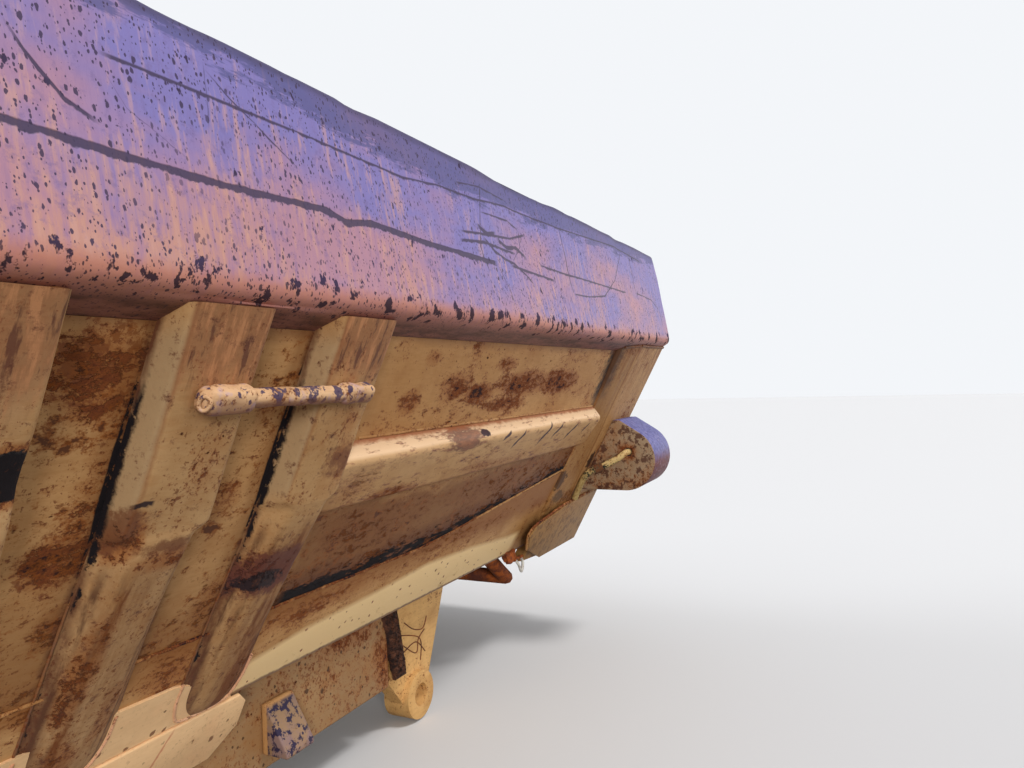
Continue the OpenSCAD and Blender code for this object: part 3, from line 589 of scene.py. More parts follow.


# Top rails: closed boxes folded from 6 mm plate whose tall faces lean out over the ribs. The
# bucket of the loader has dented and scored them, and sun and rain have bleached the paint
# pink, with a painted lilac reflection of the sky over it and a worn dark band under the top edge.
def rounded(corners, radii, steps=4, gap=0.0):
    """A closed outline through corners, each rounded off, and set in by a gap."""
    middle = [sum(c[i] for c in corners) / len(corners) for i in (0, 1)]
    outline = []
    for number, corner in enumerate(corners):
        before = Vector(corners[number - 1])
        after = Vector(corners[(number + 1) % len(corners)])
        here = Vector(corner)
        radius = radii[number]
        into, out = (here - before), (after - here)
        cut_in, cut_out = min(radius, into.length * 0.45), min(radius, out.length * 0.45)
        start = here - into.normalized() * cut_in
        end = here + out.normalized() * cut_out
        for step in range(steps + 1):
            share = step / steps
            back = 1 - share
            spot = start * back ** 2 + here * 2 * share * back + end * share ** 2
            toward = Vector(middle) - spot
            outline.append(tuple(spot + toward.normalized() * gap))
    return outline


def loft(loops):
    """A closed form through loops of points, with a face at each end."""
    made = bmesh.new()
    rings = [[made.verts.new(spot) for spot in loop] for loop in loops]
    for ring, after in zip(rings, rings[1:]):
        for number in range(len(ring)):
            beside = (number + 1) % len(ring)
            made.faces.new((ring[number], ring[beside], after[beside], after[number]))
    made.faces.new(rings[0])
    made.faces.new(rings[-1])
    return made


TAIL = -1.15
RAIL_HEAD = 3.0112
RAIL_LENGTH = 4.5  # rounded, for the drawn-in ends only
HEAD_SLOPE = math.tan(math.radians(19))
rail_corners = (
    (1.1654, 1.0905), (1.2200, 1.1130), (1.2505, 1.1310), (1.2150, 1.3287), (1.1837, 1.5010),
    (1.1566, 1.5010), (1.1566, 1.0905),
)
rail_radii = (0.002, 0.025, 0.030, 0.09, 0.013, 0.008, 0.002)


def rail_form(seed):
    """The rail's outline carried along the body, dented inward at random places."""
    loops = []
    stations = [0.0, 0.0006, 0.0016, 0.003] + [0.006 + i * 0.994 / 150 for i in range(150)]
    stations += [0.9985, 0.9993, 1.0]
    for share in stations:
        from_end = min(share, 1 - share) * RAIL_LENGTH
        gap = 0.007 * (1 - min(from_end / 0.010, 1)) ** 2
        loop = []
        for y, z in rounded(rail_corners, rail_radii, 6, gap):
            x = TAIL + share * (RAIL_HEAD + z * HEAD_SLOPE - TAIL)
            hollow = noise.noise(Vector((x * 2.1 + seed, z * 4.3, seed)))
            small = noise.noise(Vector((x * 9 + seed, z * 13, seed + 5)))
            dent = max(0.0, hollow - 0.10) * 0.014 + max(0.0, small - 0.15) * 0.005
            inner = y < 1.165
            if inner or z < 1.118:
                dent = 0.0
            loop.append((x, y - dent, z - (dent * 0.5 if z > 1.48 and not inner else 0)))
        loops.append(loop)
    return loft(loops)


def rail_paint(name, seed, scored):
    """Bleached pink paint under a painted lilac sky reflection, with streaks, dark spots and long
    cuts.
    """
    paint = Finish(name, seed)
    wide = paint.noise(3.0, 4, 0.6, 1, (1, 1, 1.8))
    fine = paint.noise(80, 3, 0.6, 3)
    streak = paint.noise(1.0, 4, 0.62, 4, (84, 24, 13))
    low = paint.z.ramp(1.44, 1.14)
    # Painted reflection: the lilac and blue here, in the streaks and in the mottle below, stronger
    # higher up, stand for the sky seen in the faded pink paint.
    tint = wide - (low - 0.5) * 0.20 + paint.x.ramp(1.5, 0.1) * 0.08
    colour = paint.blend(
        tint.ramp(0.40, 0.66), from_screen(176, 132, 152), from_screen(128, 120, 184)
    )
    flush = paint.noise(5, 3, 0.6, 5, (1, 1, 0.6)) - 0.5
    forward = (paint.x + flush).ramp(0.9, 1.7) * (0.04 + low * 0.12)
    sun = streak * 0.8 + low * 0.16 + flush * 0.50 + forward + 0.02
    colour = paint.blend(sun.ramp(0.54, 0.74) * 0.60, colour, from_screen(206, 152, 116))
    colour = paint.blend(streak.ramp(0.47, 0.34) * 0.24, colour, from_screen(124, 104, 156))
    colour = paint.blend(streak.ramp(0.54, 0.66) * 0.28, colour, from_screen(206, 164, 160))
    mottle = paint.noise(55, 5, 0.72, 6)
    colour = paint.blend(mottle.ramp(0.54, 0.66) * 0.45, colour, from_screen(112, 96, 146))
    worn = paint.track(
        (
            (-1.15, 1.452), (-0.91, 1.445), (0.18, 1.42), (0.67, 1.405), (0.91, 1.425),
            (1.14, 1.45), (1.45, 1.466),
        )
    )
    above = paint.z - worn
    scuff = paint.noise(1.0, 5, 0.72, 8, (10, 30, 52)) - 0.5
    top = (above.ramp(-0.05, 0.05) + scuff * 1.7 + flush * 0.4).ramp(0.46, 0.60)
    colour = paint.blend(top * 0.78, colour, from_screen(84, 84, 136))
    colour = paint.blend(
        (paint.z + scuff * 0.02).ramp(1.478, 1.492) * 0.7, colour, from_screen(66, 60, 86)
    )
    lip = (paint.z + paint.wobble * 0.018).ramp(1.162, 1.140)
    colour = paint.blend(lip * 0.80, colour, from_screen(188, 124, 106))
    # Painted shade: the underside below the lower edge is darkened.
    shaded_seat = (paint.z + scuff * 0.010).ramp(1.120, 1.108)
    colour = paint.blend(
        shaded_seat * (0.5 + (scuff + 0.5).ramp(0.4, 0.6) * 0.4), colour, from_screen(70, 42, 34)
    )
    drop = paint.noise(1.0, 4, 0.62, 9, (34, 34, 24))
    blots = drop + (0.036 - abs(paint.z - 1.140)).ramp(0.0, 0.022) * 0.125
    dark = blots.ramp(0.668, 0.700)
    ovals = paint.specks(92, 0.50, 10, (1, 1, 0.6), 0.33)
    ovals = ovals.most(paint.specks(140, 0.75, 11, (1, 1, 0.55), 0.36))
    ovals = ovals.most(paint.specks(215, 0.80, 12, (1, 1, 0.6), 0.36))
    crowd = (paint.noise(5, 3, 0.5, 12) + paint.z.ramp(1.2, 1.5) * 0.12).ramp(0.40, 0.56)
    spotted = dark.most(ovals * (0.50 + crowd * 0.42))
    if scored:
        wide_cuts = paint.strokes(
            (
                (
                    (1.95, 1.292), (1.59, 1.280), (1.45, 1.276), (1.30, 1.274), (1.14, 1.279),
                    (1.07, 1.281), (1.02, 1.270), (0.95, 1.281), (0.73, 1.272), (0.44, 1.271),
                ),
                0.0068,
            ),
            (((1.57, 1.395), (1.55, 1.365), (1.51, 1.325), (1.47, 1.308)), 0.0045),
        )
        cuts = paint.strokes(
            (
                (
                    (1.46, 1.400), (1.10, 1.400), (0.81, 1.396), (0.68, 1.410), (0.51, 1.414),
                    (0.33, 1.433), (-0.02, 1.434), (-0.59, 1.460), (-0.91, 1.445),
                ),
                0.0036,
            ),
            (((0.59, 1.437), (0.47, 1.451), (0.31, 1.449)), 0.0030),
            (((0.61, 1.323), (0.49, 1.335), (0.33, 1.349), (0.22, 1.376)), 0.0042),
            (((0.62, 1.302), (0.50, 1.315), (0.31, 1.312)), 0.0044),
            (((0.49, 1.387), (0.33, 1.396), (0.26, 1.383)), 0.0032),
            (((0.36, 1.278), (0.07, 1.268)), 0.0046),
            (((0.16, 1.302), (-0.01, 1.297), (-0.62, 1.295)), 0.0040),
            (
                ((-0.06, 1.242), (-0.20, 1.245), (-0.35, 1.261), (-0.50, 1.327), (-0.66, 1.451)),
                0.0034,
            ),
            (((-0.75, 1.306), (-0.96, 1.296), (-1.06, 1.262)), 0.0034),
            (((1.29, 1.440), (1.25, 1.410), (1.12, 1.337)), 0.0024),
            (((0.42, 1.335), (0.36, 1.322), (0.30, 1.330), (0.24, 1.308)), 0.0060),
            (((0.52, 1.352), (0.47, 1.338), (0.42, 1.346)), 0.0070),
            (((0.40, 1.292), (0.33, 1.284), (0.27, 1.262), (0.23, 1.240)), 0.0046),
            (((0.50, 1.328), (0.44, 1.300), (0.37, 1.288)), 0.0050),
            (((1.46, 1.387), (1.43, 1.340), (1.34, 1.294)), 0.0012),
        )
        tall = paint.strokes(
            (((0.44, 1.271), (0.40, 1.217), (0.385, 1.170)), 0.0024, True),
            (((0.90, 1.268), (0.88, 1.166)), 0.0012, True),
            (((0.46, 1.465), (0.52, 1.301), (0.49, 1.241)), 0.0030, True),
            (((1.29, 1.451), (1.30, 1.351)), 0.0014, True),
            (((-0.03, 1.437), (-0.04, 1.310), (-0.06, 1.242)), 0.0032, True),
            (((-0.75, 1.471), (-0.75, 1.306)), 0.0034, True),
            (((-1.06, 1.262), (-1.07, 1.192)), 0.0034, True),
            (((0.26, 1.383), (0.27, 1.337), (0.34, 1.289)), 0.0030, True),
        )
        scores = wide_cuts.most(cuts).most(tall)
    else:
        scores = wide_cuts = paint.strokes(
            (((2.6, 1.36), (1.7, 1.33), (0.6, 1.35), (-0.4, 1.30)), 0.005),
            (((1.9, 1.42), (0.9, 1.40), (0.1, 1.43)), 0.002),
        )
    colour = paint.blend(spotted, colour, paint.blend(lip, NAVY, from_screen(62, 40, 50)))
    colour = paint.blend(scores * 0.92, colour, from_screen(66, 56, 84))
    bare = paint.outward().ramp(-0.3, -0.6)
    steel = paint.blend(paint.noise(8, 5, 0.7, 13).ramp(0.42, 0.6), SCOURED, RUST)
    colour = paint.blend(bare, colour, steel)
    relief = fine * 0.15 + streak * 0.2 - dark.most(wide_cuts) * 0.5
    return paint.done(colour, 0.46 + dark * 0.3 + fine * 0.12, relief, 0.0022)


for side, sign, seed in SIDES:
    paint = rail_paint("rail_paint_" + side, seed + 3, side == "left")
    piece(
        "top_rail_" + side, rail_form(seed + 2.0), [paint],
        ["rail_" + side, "rail_caps_" + side], sign, 50,
    )


# Hat ribs: pressed channels welded up the wall, bent at the knuckle, where the wide upper leg
# steps down to a narrow lower leg with sloping flanks and a rounded foot. The rearmost three
# are knocked about, and rusty water has drawn wood-like streaks down their faces.
KNEE_Z = 0.786
FOOT_Z = 0.346
BEND_Y, BEND_Z = 1.0748, 0.7788
LEG_SLOPE = math.tan(math.radians(33.5))


def rib_face(z):
    """How far a rib's outer face stands from the body's middle at a height."""
    return BEND_Y + (z - BEND_Z) * (UPPER_SLOPE if z > KNEE_Z else LEG_SLOPE)


def eased(value):
    """A smooth step from 0 to 1."""
    held = max(0.0, min(1.0, value))
    return held * held * (3 - 2 * held)


def rib_form(number, seed):
    """One rib as a loft of level sections from the rail down to its foot."""
    x0 = FIRST_RIB + number * RIB_PITCH
    heights = [1.112 - i * 0.022 for i in range(14)] + [0.80, 0.794, 0.789, 0.784, 0.779, 0.772]
    heights += [0.764 - i * 0.018 for i in range(20)]
    heights += [0.406, 0.394, 0.382, 0.370, 0.360, 0.353, 0.348, FOOT_Z]
    loops = []
    for z in heights:
        wall = wall_line(z)
        down = eased((0.796 - z) / 0.020)
        low = max(0.0, (KNEE_Z - z) / (KNEE_Z - FOOT_Z))
        half = 0.074 * (1 - down) + (0.047 - 0.016 * low) * down
        base = 0.085
        toe = max(0.0, (0.410 - z) / (0.410 - FOOT_Z))
        base -= 0.030 * toe ** 2.2
        half -= 0.006 * toe ** 2
        drop = 0.010 * toe ** 3
        shift = -0.012 * low
        depth = rib_face(z) - wall - drop
        section = (
            (-base, 0.0), (-half, depth), (half, depth), (base, 0.0), (base, -0.002),
            (-base, -0.002),
        )
        outline = rounded(section, (0.004, 0.013, 0.013, 0.004, 0.0005, 0.0005), 4)
        loop = []
        for across, out in outline:
            x = x0 + across + shift * (1 if out > 0.001 else 0)
            wave = noise.noise(Vector((x * 7, z * 9, seed + number))) * 0.0022
            if number < 3 and out > 0.01:
                for (px, pz, wide, high, deep) in RIB_DENTS[number]:
                    far = ((x - x0 - px) / wide) ** 2 + ((z - pz) / high) ** 2
                    wave -= deep * math.exp(-far * 2)
            loop.append((x, wall + max(out + (wave if out > 0.004 else 0), -0.002), z))
        loops.append(loop)
    return loft(loops)


# Each dent: where along the body from the rib's middle, height, half width, half height, depth
RIB_DENTS = (
    ((0.01, 0.655, 0.06, 0.030, 0.011), (-0.05, 0.93, 0.05, 0.04, 0.004)),
    ((0.05, 0.800, 0.035, 0.045, 0.016), (0.0, 0.95, 0.06, 0.05, 0.003)),
    ((-0.06, 0.90, 0.035, 0.05, 0.012), (0.02, 0.70, 0.06, 0.04, 0.006)),
)


def rib_marks(paint):
    """Rust where the ribs are dented and along the rear edges of the lower legs."""
    return paint.patches(
        (0.96, 0.655, 0.13, 0.055, 1.0), (0.905, 0.86, 0.05, 0.07, 0.8),
        (0.91, 0.93, 0.04, 0.06, 0.6), (1.335, 0.79, 0.035, 0.055, 1.3),
        (1.25, 0.745, 0.10, 0.028, 1.0), (1.315, 0.60, 0.03, 0.14, 0.8),
        (1.53, 0.905, 0.055, 0.045, 2.2), (1.22, 0.46, 0.05, 0.10, 0.8),
        (0.90, 0.42, 0.05, 0.10, 0.9), (1.58, 0.60, 0.06, 0.20, 0.8),
        (1.29, 0.40, 0.05, 0.05, 0.9),
    )


def rib_look(paint, colour, rough, rust):
    """Wood-like streaks under the rail, brown legs with painted shade, a painted highlight on the
    forward flanks, bruises and the crack at the front base.
    """
    wood = paint.noise(1.0, 5, 0.62, 21, (60, 30, 3.2))
    fall = (paint.z + (paint.noise(1.0, 3, 0.5, 22, (30, 10, 1)) - 0.5) * 0.16).ramp(0.965, 1.035)
    forward = paint.facing(0)
    face = abs(forward).ramp(0.75, 0.45)
    brown = fall * face * (0.62 + wood.ramp(0.35, 0.65) * 0.38)
    colour = paint.blend(brown * 0.85, colour, from_screen(138, 86, 58))
    colour = paint.blend(
        fall * face * wood.ramp(0.50, 0.62) * 0.8, colour, from_screen(196, 140, 98)
    )
    colour = paint.blend(
        fall * face * wood.ramp(0.44, 0.36) * 0.85, colour, from_screen(92, 52, 40)
    )
    leg = paint.z.ramp(0.76, 0.70)
    local = rib_local(paint)
    grain = paint.noise(1.0, 4, 0.66, 23, (48, 14, 5))
    # Painted highlight: the forward-facing flanks of the upper legs are paler.
    pale = forward.ramp(0.45, 0.75) * paint.z.ramp(0.78, 0.82) * paint.z.ramp(1.10, 1.06)
    colour = paint.blend(pale * 0.75 * (1 - rust), colour, from_screen(172, 146, 112))
    fold = (0.005 - abs(local - 0.070 + paint.wobble * 0.006)).ramp(0.0, 0.005)
    fold = fold * paint.z.ramp(0.78, 0.84)
    colour = paint.blend(fold * 0.5, colour, from_screen(128, 82, 54))
    # The lower legs are browner all over; painted shade darkens the first rib's rear half and a
    # strip on the other ribs.
    first = (paint.x - 1.11).ramp(0.005, -0.005)
    rear = (local + paint.wobble * 0.03).ramp(0.006, -0.010) * first
    strip = (0.010 - abs(local - 0.034 + paint.wobble * 0.016)).ramp(0.0, 0.007) * (1 - first)
    brown_and_shaded_leg = leg * (0.42 + rear * 0.56 + strip * 0.56) * (0.50 + grain.ramp(0.40, 0.60) * 0.70)
    colour = paint.blend(brown_and_shaded_leg, colour, from_screen(114, 64, 28))
    # Painted shade: dark lines along the folds of the lower legs.
    lines = (0.008 - abs(abs(local) - 0.066 + paint.wobble * 0.010)).ramp(0.0, 0.006)
    inner = (0.006 - abs(abs(local) - 0.044 + paint.wobble * 0.014)).ramp(0.0, 0.006)
    lines = lines.most(inner * 0.6)
    colour = paint.blend(
        lines * leg * grain.ramp(0.36, 0.52) * 0.85, colour, from_screen(76, 44, 30)
    )
    above = paint.z - KNUCKLE_Z
    lift = abs(paint.y) - KNUCKLE_Y - (above * UPPER_SLOPE).least(above * LOWER_SLOPE)
    joint = (lift + paint.wobble * 0.014).ramp(0.014, 0.004)
    colour = paint.blend(
        joint * (0.5 + wood.ramp(0.4, 0.6) * 0.45), colour, from_screen(92, 52, 34)
    )
    scab = paint.noise(40, 6, 0.78, 24) - 0.5
    bruise = (paint.patch(0.960, 0.650, 0.105, 0.056).held() + scab * 2.2).ramp(0.12, 0.50)
    colour = paint.blend(bruise * 0.9, colour, from_screen(96, 52, 44))
    core = (paint.patch(0.985, 0.634, 0.070, 0.026).held() + scab * 2.8).ramp(0.36, 0.60)
    colour = paint.blend(core, colour, from_screen(34, 18, 22))
    hole = (paint.patch(1.53, 0.905, 0.062, 0.036).held() + scab * 1.4).ramp(0.22, 0.34)
    colour = paint.blend(hole, colour, BLACK)
    under = paint.patches(
        (1.345, 0.800, 0.030, 0.044), (1.27, 0.766, 0.065, 0.018, 0.7),
        (0.915, 0.855, 0.05, 0.045, 0.7),
    )
    colour = paint.blend(
        (under + scab * 2.4).ramp(0.16, 0.60) * 0.80, colour, from_screen(110, 64, 40)
    )
    ledge = paint.stroke(((1.350, 0.837), (1.336, 0.841), (1.316, 0.839)), 0.005)
    colour = paint.blend(ledge, colour, from_screen(44, 26, 24))
    crack = rib_crack(paint, local, 0.082) * (lift + scab * 0.03).ramp(0.016, 0.008)
    crack = crack * (local - 0.05).ramp(0.0, 0.01)
    colour = paint.blend(crack, colour, BLACK)
    return colour, rough + crack * 0.3


for side, sign, seed in SIDES:
    look = aged(
        "rib_paint_" + side, seed + 4, rib_marks, base=from_screen(190, 150, 104),
        pale=from_screen(202, 166, 122), streaked=0.12, pitted=-0.02, finish=rib_look,
    )
    for number in range(7):
        piece(
            f"hat_rib_{side}_{number + 1}", rib_form(number, seed), [look],
            [f"rib_{side}_{number + 1}"], sign, 50,
        )


# Waist ribs: shallow folded channels that stiffen the wall between the rearmost rib and the
# post. Their slanted tops carry a painted highlight, and something has rubbed one of them bare.
WAIST_TAIL, WAIST_FRONT = -0.664, 0.876


def waist_form(seed):
    """A waist rib's outline carried from the post to the rearmost rib."""
    corners = (
        (1.0675, 0.8855), (1.1048, 0.8462), (1.0240, 0.7424), (0.9960, 0.7424), (1.0300, 0.8020),
    )
    radii = (0.003, 0.020, 0.010, 0.003, 0.003)
    loops = []
    for station in range(64):
        x = WAIST_TAIL + (station / 63) * (WAIST_FRONT - WAIST_TAIL)
        ends = min(station, 63 - station)
        gap = 0.004 if ends == 0 else 0.0
        loop = []
        for y, z in rounded(corners, radii, 5, gap):
            wave = noise.noise(Vector((x * 4 + seed, z * 9, 2.0))) * 0.003
            pushed = 0.004 * math.exp(-((x - 0.50) / 0.09) ** 2) if z > 0.80 else 0.0
            proud = 1.0 if y > wall_line(z) + 0.006 else 0.0
            loop.append((x, y + (wave - 0.002 - pushed) * proud, z))
        loops.append(loop)
    return loft(loops)


def waist_look(paint, colour, rough, rust):
    """A top with a painted highlight, paler towards it, a rubbed place and a row of slanting nicks.
    """
    up = paint.facing(2)
    painted_highlight = up.ramp(0.05, 0.45)
    # Painted highlight: paler towards the top, and palest on the faces that look up.
    colour = paint.blend(paint.z.ramp(0.76, 0.845) * 0.55, colour, from_screen(224, 186, 140))
    colour = paint.blend(painted_highlight * (1 - rust * 0.7) * 0.9, colour, from_screen(240, 206, 168))
    torn = paint.noise(1.0, 5, 0.75, 24, (16, 60, 60)) - 0.5
    rub = (paint.patch(0.38, 0.850, 0.120, 0.046).held() + torn * 3.6).ramp(0.16, 0.56)
    tint = paint.blend(torn.ramp(-0.05, 0.1), from_screen(96, 56, 52), from_screen(146, 92, 70))
    colour = paint.blend(rub * 0.85, colour, tint)
    chip = (paint.patch(0.275, 0.858, 0.032, 0.012).held() + torn * 2.4).ramp(0.3, 0.5)
    deep = paint.strokes(
        (((0.07, 0.800), (0.02, 0.845)), 0.0085), (((-0.13, 0.795), (-0.19, 0.852)), 0.011),
        (((-0.23, 0.805), (-0.28, 0.845)), 0.008), (((-0.37, 0.79), (-0.43, 0.838)), 0.009),
        (((0.17, 0.83), (0.12, 0.85)), 0.006), (((-0.52, 0.80), (-0.56, 0.83)), 0.006),
    )
    colour = paint.blend(deep.most(chip), colour, from_screen(66, 46, 52))
    joint = (paint.z - 0.872 + paint.wobble * 0.016).ramp(0.0, 0.008)
    colour = paint.blend(joint * 0.85, colour, from_screen(168, 98, 58))
    foot = (paint.z - 0.752 + paint.wobble * 0.02).ramp(0.0, -0.01)
    colour = paint.blend(foot * 0.6, colour, STAIN)
    return colour, rough


def waist_marks(paint):
    """Rust near the rearmost rib and along the lower fold."""
    return paint.patches(
        (0.80, 0.80, 0.08, 0.06, 0.6), (0.62, 0.75, 0.12, 0.02, 1.0), (0.10, 0.76, 0.3, 0.02, 0.6)
    )


for side, sign, seed in SIDES:
    look = aged(
        "waist_paint_" + side, seed + 5, waist_marks, base=from_screen(196, 154, 110),
        streaked=0.05, pitted=-0.03, finish=waist_look, drawn=0.5,
    )
    piece("waist_fold_" + side, waist_form(seed), [look], ["waist_rib_" + side], sign, 50)


# Posts: folded boxes that frame the wall's rear edge, with a flank that slants in to the wall
# and stands a little off it, a doubling shoe round each foot, and a flat channel at the front.
POST_Y, POST_Z, POST_SLOPE = 1.22, 1.113, 0.5272
POST_TOP, POST_FOOT = 1.117, 0.281
POST_FOLD = -0.812


def post_face(z):
    """How far a post's outer face stands from the body's middle at a height."""
    return POST_Y + (z - POST_Z) * POST_SLOPE


def post_form(seed):
    """A post's section carried down from the rail, with a crease and small waves."""
    loops = []
    for step in range(30):
        z = POST_TOP - (POST_TOP - POST_FOOT) * step / 29
        out = post_face(z)
        section = (
            (TAIL, 0.0), (POST_FOLD, 0.0), (-0.657, -0.0205), (-0.648, -0.030), (-0.648, -0.062),
            (TAIL, -0.062),
        )
        outline = rounded(section, (0.009, 0.060, 0.007, 0.004, 0.001, 0.001), 5)
        loop = []
        for x, deep in outline:
            wave = noise.noise(Vector((x * 5, z * 6, seed))) * 0.0025 - 0.0022
            crease = -0.0035 * math.exp(-((x + 0.80) / 0.010) ** 2)
            bent = (wave + crease) if deep > -0.021 and x > TAIL + 0.012 else 0.0
            loop.append((x, out + (deep + bent) * 1.10, z))
        loops.append(loop)
    return loft(loops)


def post_marks(paint):
    """Rust down the flank, under the rail and above the shoe."""
    return paint.patches(
        (-0.64, 0.90, 0.03, 0.25, 0.8), (-0.78, 1.09, 0.12, 0.03, 0.9),
        (-0.62, 0.60, 0.05, 0.08, 0.9), (-0.80, 0.52, 0.10, 0.04, 0.9),
        (-0.90, 0.66, 0.05, 0.10, 0.8),
    )


def post_look(paint, colour, rough, rust):
    """Streaks drawn down from the rail, a black upper front edge in painted shade with rust blots,
    painted shade on the flank and its crease, and a speckled foot.
    """
    wood = paint.noise(1.0, 5, 0.62, 26, (46, 20, 2.6))
    fall = (paint.z + (wood - 0.5) * 0.30).ramp(0.95, 1.10)
    colour = paint.blend(
        (0.12 + fall * 0.6) * wood.ramp(0.46, 0.60), colour, from_screen(132, 78, 48)
    )
    colour = paint.blend(
        (0.10 + fall * 0.4) * wood.ramp(0.44, 0.34), colour, from_screen(220, 176, 124)
    )
    # Painted shade: the front edge of the upper flank is blackened; the blots below are rust.
    edge = (paint.x + 0.690 + paint.wobble * 0.10).ramp(-0.030, 0.020) * paint.z.ramp(0.86, 0.98)
    blot = paint.patches(
        (-0.66, 0.60, 0.05, 0.045), (-0.70, 0.535, 0.05, 0.03, 0.8),
        (-0.86, 0.66, 0.035, 0.05, 0.8),
    )
    edge = edge.most((blot + paint.wobble * 2.0).ramp(0.25, 0.55))
    colour = paint.blend(edge * 0.92, colour, from_screen(44, 26, 26))
    # Painted shade on the flank and in the crease at its fold.
    flank = (paint.x - POST_FOLD).ramp(0.0, 0.012)
    colour = paint.blend(flank * 0.30, colour, from_screen(120, 80, 46))
    crease = (0.008 - abs(paint.x + 0.815 + paint.wobble * 0.004)).ramp(0.0, 0.006)
    colour = paint.blend(crease * 0.55, colour, from_screen(120, 76, 44))
    low = paint.z.ramp(0.60, 0.42)
    colour = paint.blend(low * 0.60, colour, from_screen(142, 106, 56))
    dirt = paint.noise(30, 5, 0.72, 27) + low * 0.05
    colour = paint.blend(dirt.ramp(0.54, 0.64) * low * 0.6, colour, from_screen(92, 60, 36))
    return inside_out(paint, colour, rough, rust)


for side, sign, seed in SIDES:
    look = aged(
        "post_paint_" + side, seed + 6, post_marks, base=from_screen(172, 130, 84), streaked=0.35,
        finish=post_look,
    )
    piece("tail_post_" + side, post_form(seed), [look], ["rear_post_" + side], sign, 50)
    softened("post_shoe_" + side, 0.0025, look)
    softened("front_post_" + side, 0.004, look)


# Lamp guards: a bent plate shelters each tail lamp and is open to the rear. Its rim has the
# rail's bleached colours with the painted lilac sky reflection above, and its front plate is
# pitted, most of all round the conduit's hole.
GUARD_Y, GUARD_Z = 1.109, 0.66
HOLE_Y, HOLE_Z = 1.125, 0.690


def guard_marks(paint):
    """Rust round the conduit's hole."""
    hole_y = abs(paint.y) - HOLE_Y
    hole_z = paint.z - HOLE_Z
    near = (hole_y * hole_y + hole_z * hole_z).only("SQRT")
    return near.ramp(0.055, 0.018) * 1.2 + near.ramp(0.06, 0.12) * 0.35


def guard_look(paint, colour, rough, rust):
    """A rim with a painted lilac sky reflection above and red-brown below, and a spotted front
    plate.
    """
    rim = paint.facing(0).ramp(0.7, 0.4)
    # Painted reflection: the rim is lilac towards the top.
    above = (paint.z + paint.wobble * 0.05).ramp(0.645, 0.695)
    tint = paint.blend(above, from_screen(110, 60, 58), from_screen(108, 110, 168))
    mottle = paint.noise(60, 5, 0.75, 27)
    tint = paint.blend(mottle.ramp(0.50, 0.62) * 0.6, tint, from_screen(66, 56, 90))
    tint = paint.blend(mottle.ramp(0.46, 0.36) * 0.5, tint, from_screen(160, 146, 176))
    aside, above_middle = abs(paint.y) - GUARD_Y, paint.z - GUARD_Z
    rimward = aside * aside + above_middle * above_middle
    spots = paint.noise(36, 5, 0.70, 28) + rimward.ramp(0.002, 0.009) * 0.07
    colour = paint.blend(spots.ramp(0.57, 0.62) * 0.85, colour, from_screen(80, 46, 38))
    return paint.blend(rim, colour, tint), rough


for side, _, seed in SIDES:
    look = aged(
        "guard_paint_" + side, seed + 7, guard_marks, base=from_screen(158, 136, 112),
        pale=from_screen(168, 146, 120), streaked=0.0, pitted=-0.01, finish=guard_look,
    )
    softened("lamp_guard_" + side, 0.003, look)


# Cable conduits: a painted steel tube comes out of the rusty hole in each guard's front plate
# and runs down the post through a dark coupling.
def mesh_lines(name, lines):
    """A mesh of loose edges through each line of points."""
    data = bpy.data.meshes.new(name)
    spots, edges = [], []
    for line in lines:
        start = len(spots)
        spots += [tuple(spot) for spot in line]
        edges += [(start + i, start + i + 1) for i in range(len(line) - 1)]
    data.from_pydata(spots, edges, [])
    return data


def bead_tree():
    """Geometry nodes that sweep a lumpy round bead along loose edges."""
    group = bpy.data.node_groups.new("bead", "GeometryNodeTree")
    face = group.interface
    face.new_socket("Geometry", in_out="INPUT", socket_type="NodeSocketGeometry")
    for label in ("Radius", "Lump", "Grain", "Step"):
        face.new_socket(label, in_out="INPUT", socket_type="NodeSocketFloat")
    face.new_socket("Material", in_out="INPUT", socket_type="NodeSocketMaterial")
    face.new_socket("Geometry", in_out="OUTPUT", socket_type="NodeSocketGeometry")
    tree = Nodes(group)
    edges = tree.node("NodeGroupInput", out="Geometry")
    curve = tree.node("GeometryNodeMeshToCurve", values={"Mesh": edges})
    smooth = tree.node(
        "GeometryNodeCurveSplineType", {"spline_type": "CATMULL_ROM"}, {"Curve": curve}
    )
    even = tree.node(
        "GeometryNodeResampleCurve",
        {"mode": "LENGTH"},
        {"Curve": smooth, "Length": edges.beside("Step")},
    )
    ring = tree.node(
        "GeometryNodeCurvePrimitiveCircle",
        values={"Resolution": 9, "Radius": edges.beside("Radius")},
    )
    tube = tree.node(
        "GeometryNodeCurveToMesh",
        values={"Curve": even, "Profile Curve": ring, "Fill Caps": True},
    )
    grain = tree.node(
        "ShaderNodeTexNoise",
        {"noise_dimensions": "3D"},
        {"Scale": edges.beside("Grain"), "Detail": 2.0},
    )
    lumps = tree.node(
        "ShaderNodeVectorMath",
        {"operation": "SCALE"},
        {
            0: tree.node("GeometryNodeInputNormal"),
            "Scale": (grain - 0.5) * edges.beside("Lump"),
        },
    )
    moved = tree.node("GeometryNodeSetPosition", values={"Geometry": tube, "Offset": lumps})
    real = tree.node("GeometryNodeRealizeInstances", values={"Geometry": moved})
    dressed = tree.node(
        "GeometryNodeSetMaterial",
        values={"Geometry": real, "Material": edges.beside("Material")},
    )
    tree.node("NodeGroupOutput", values={0: dressed})
    return group


BEAD = bead_tree()
BEAD_SLOTS = {s.name: s.identifier for s in BEAD.interface.items_tree if s.in_out == "INPUT"}


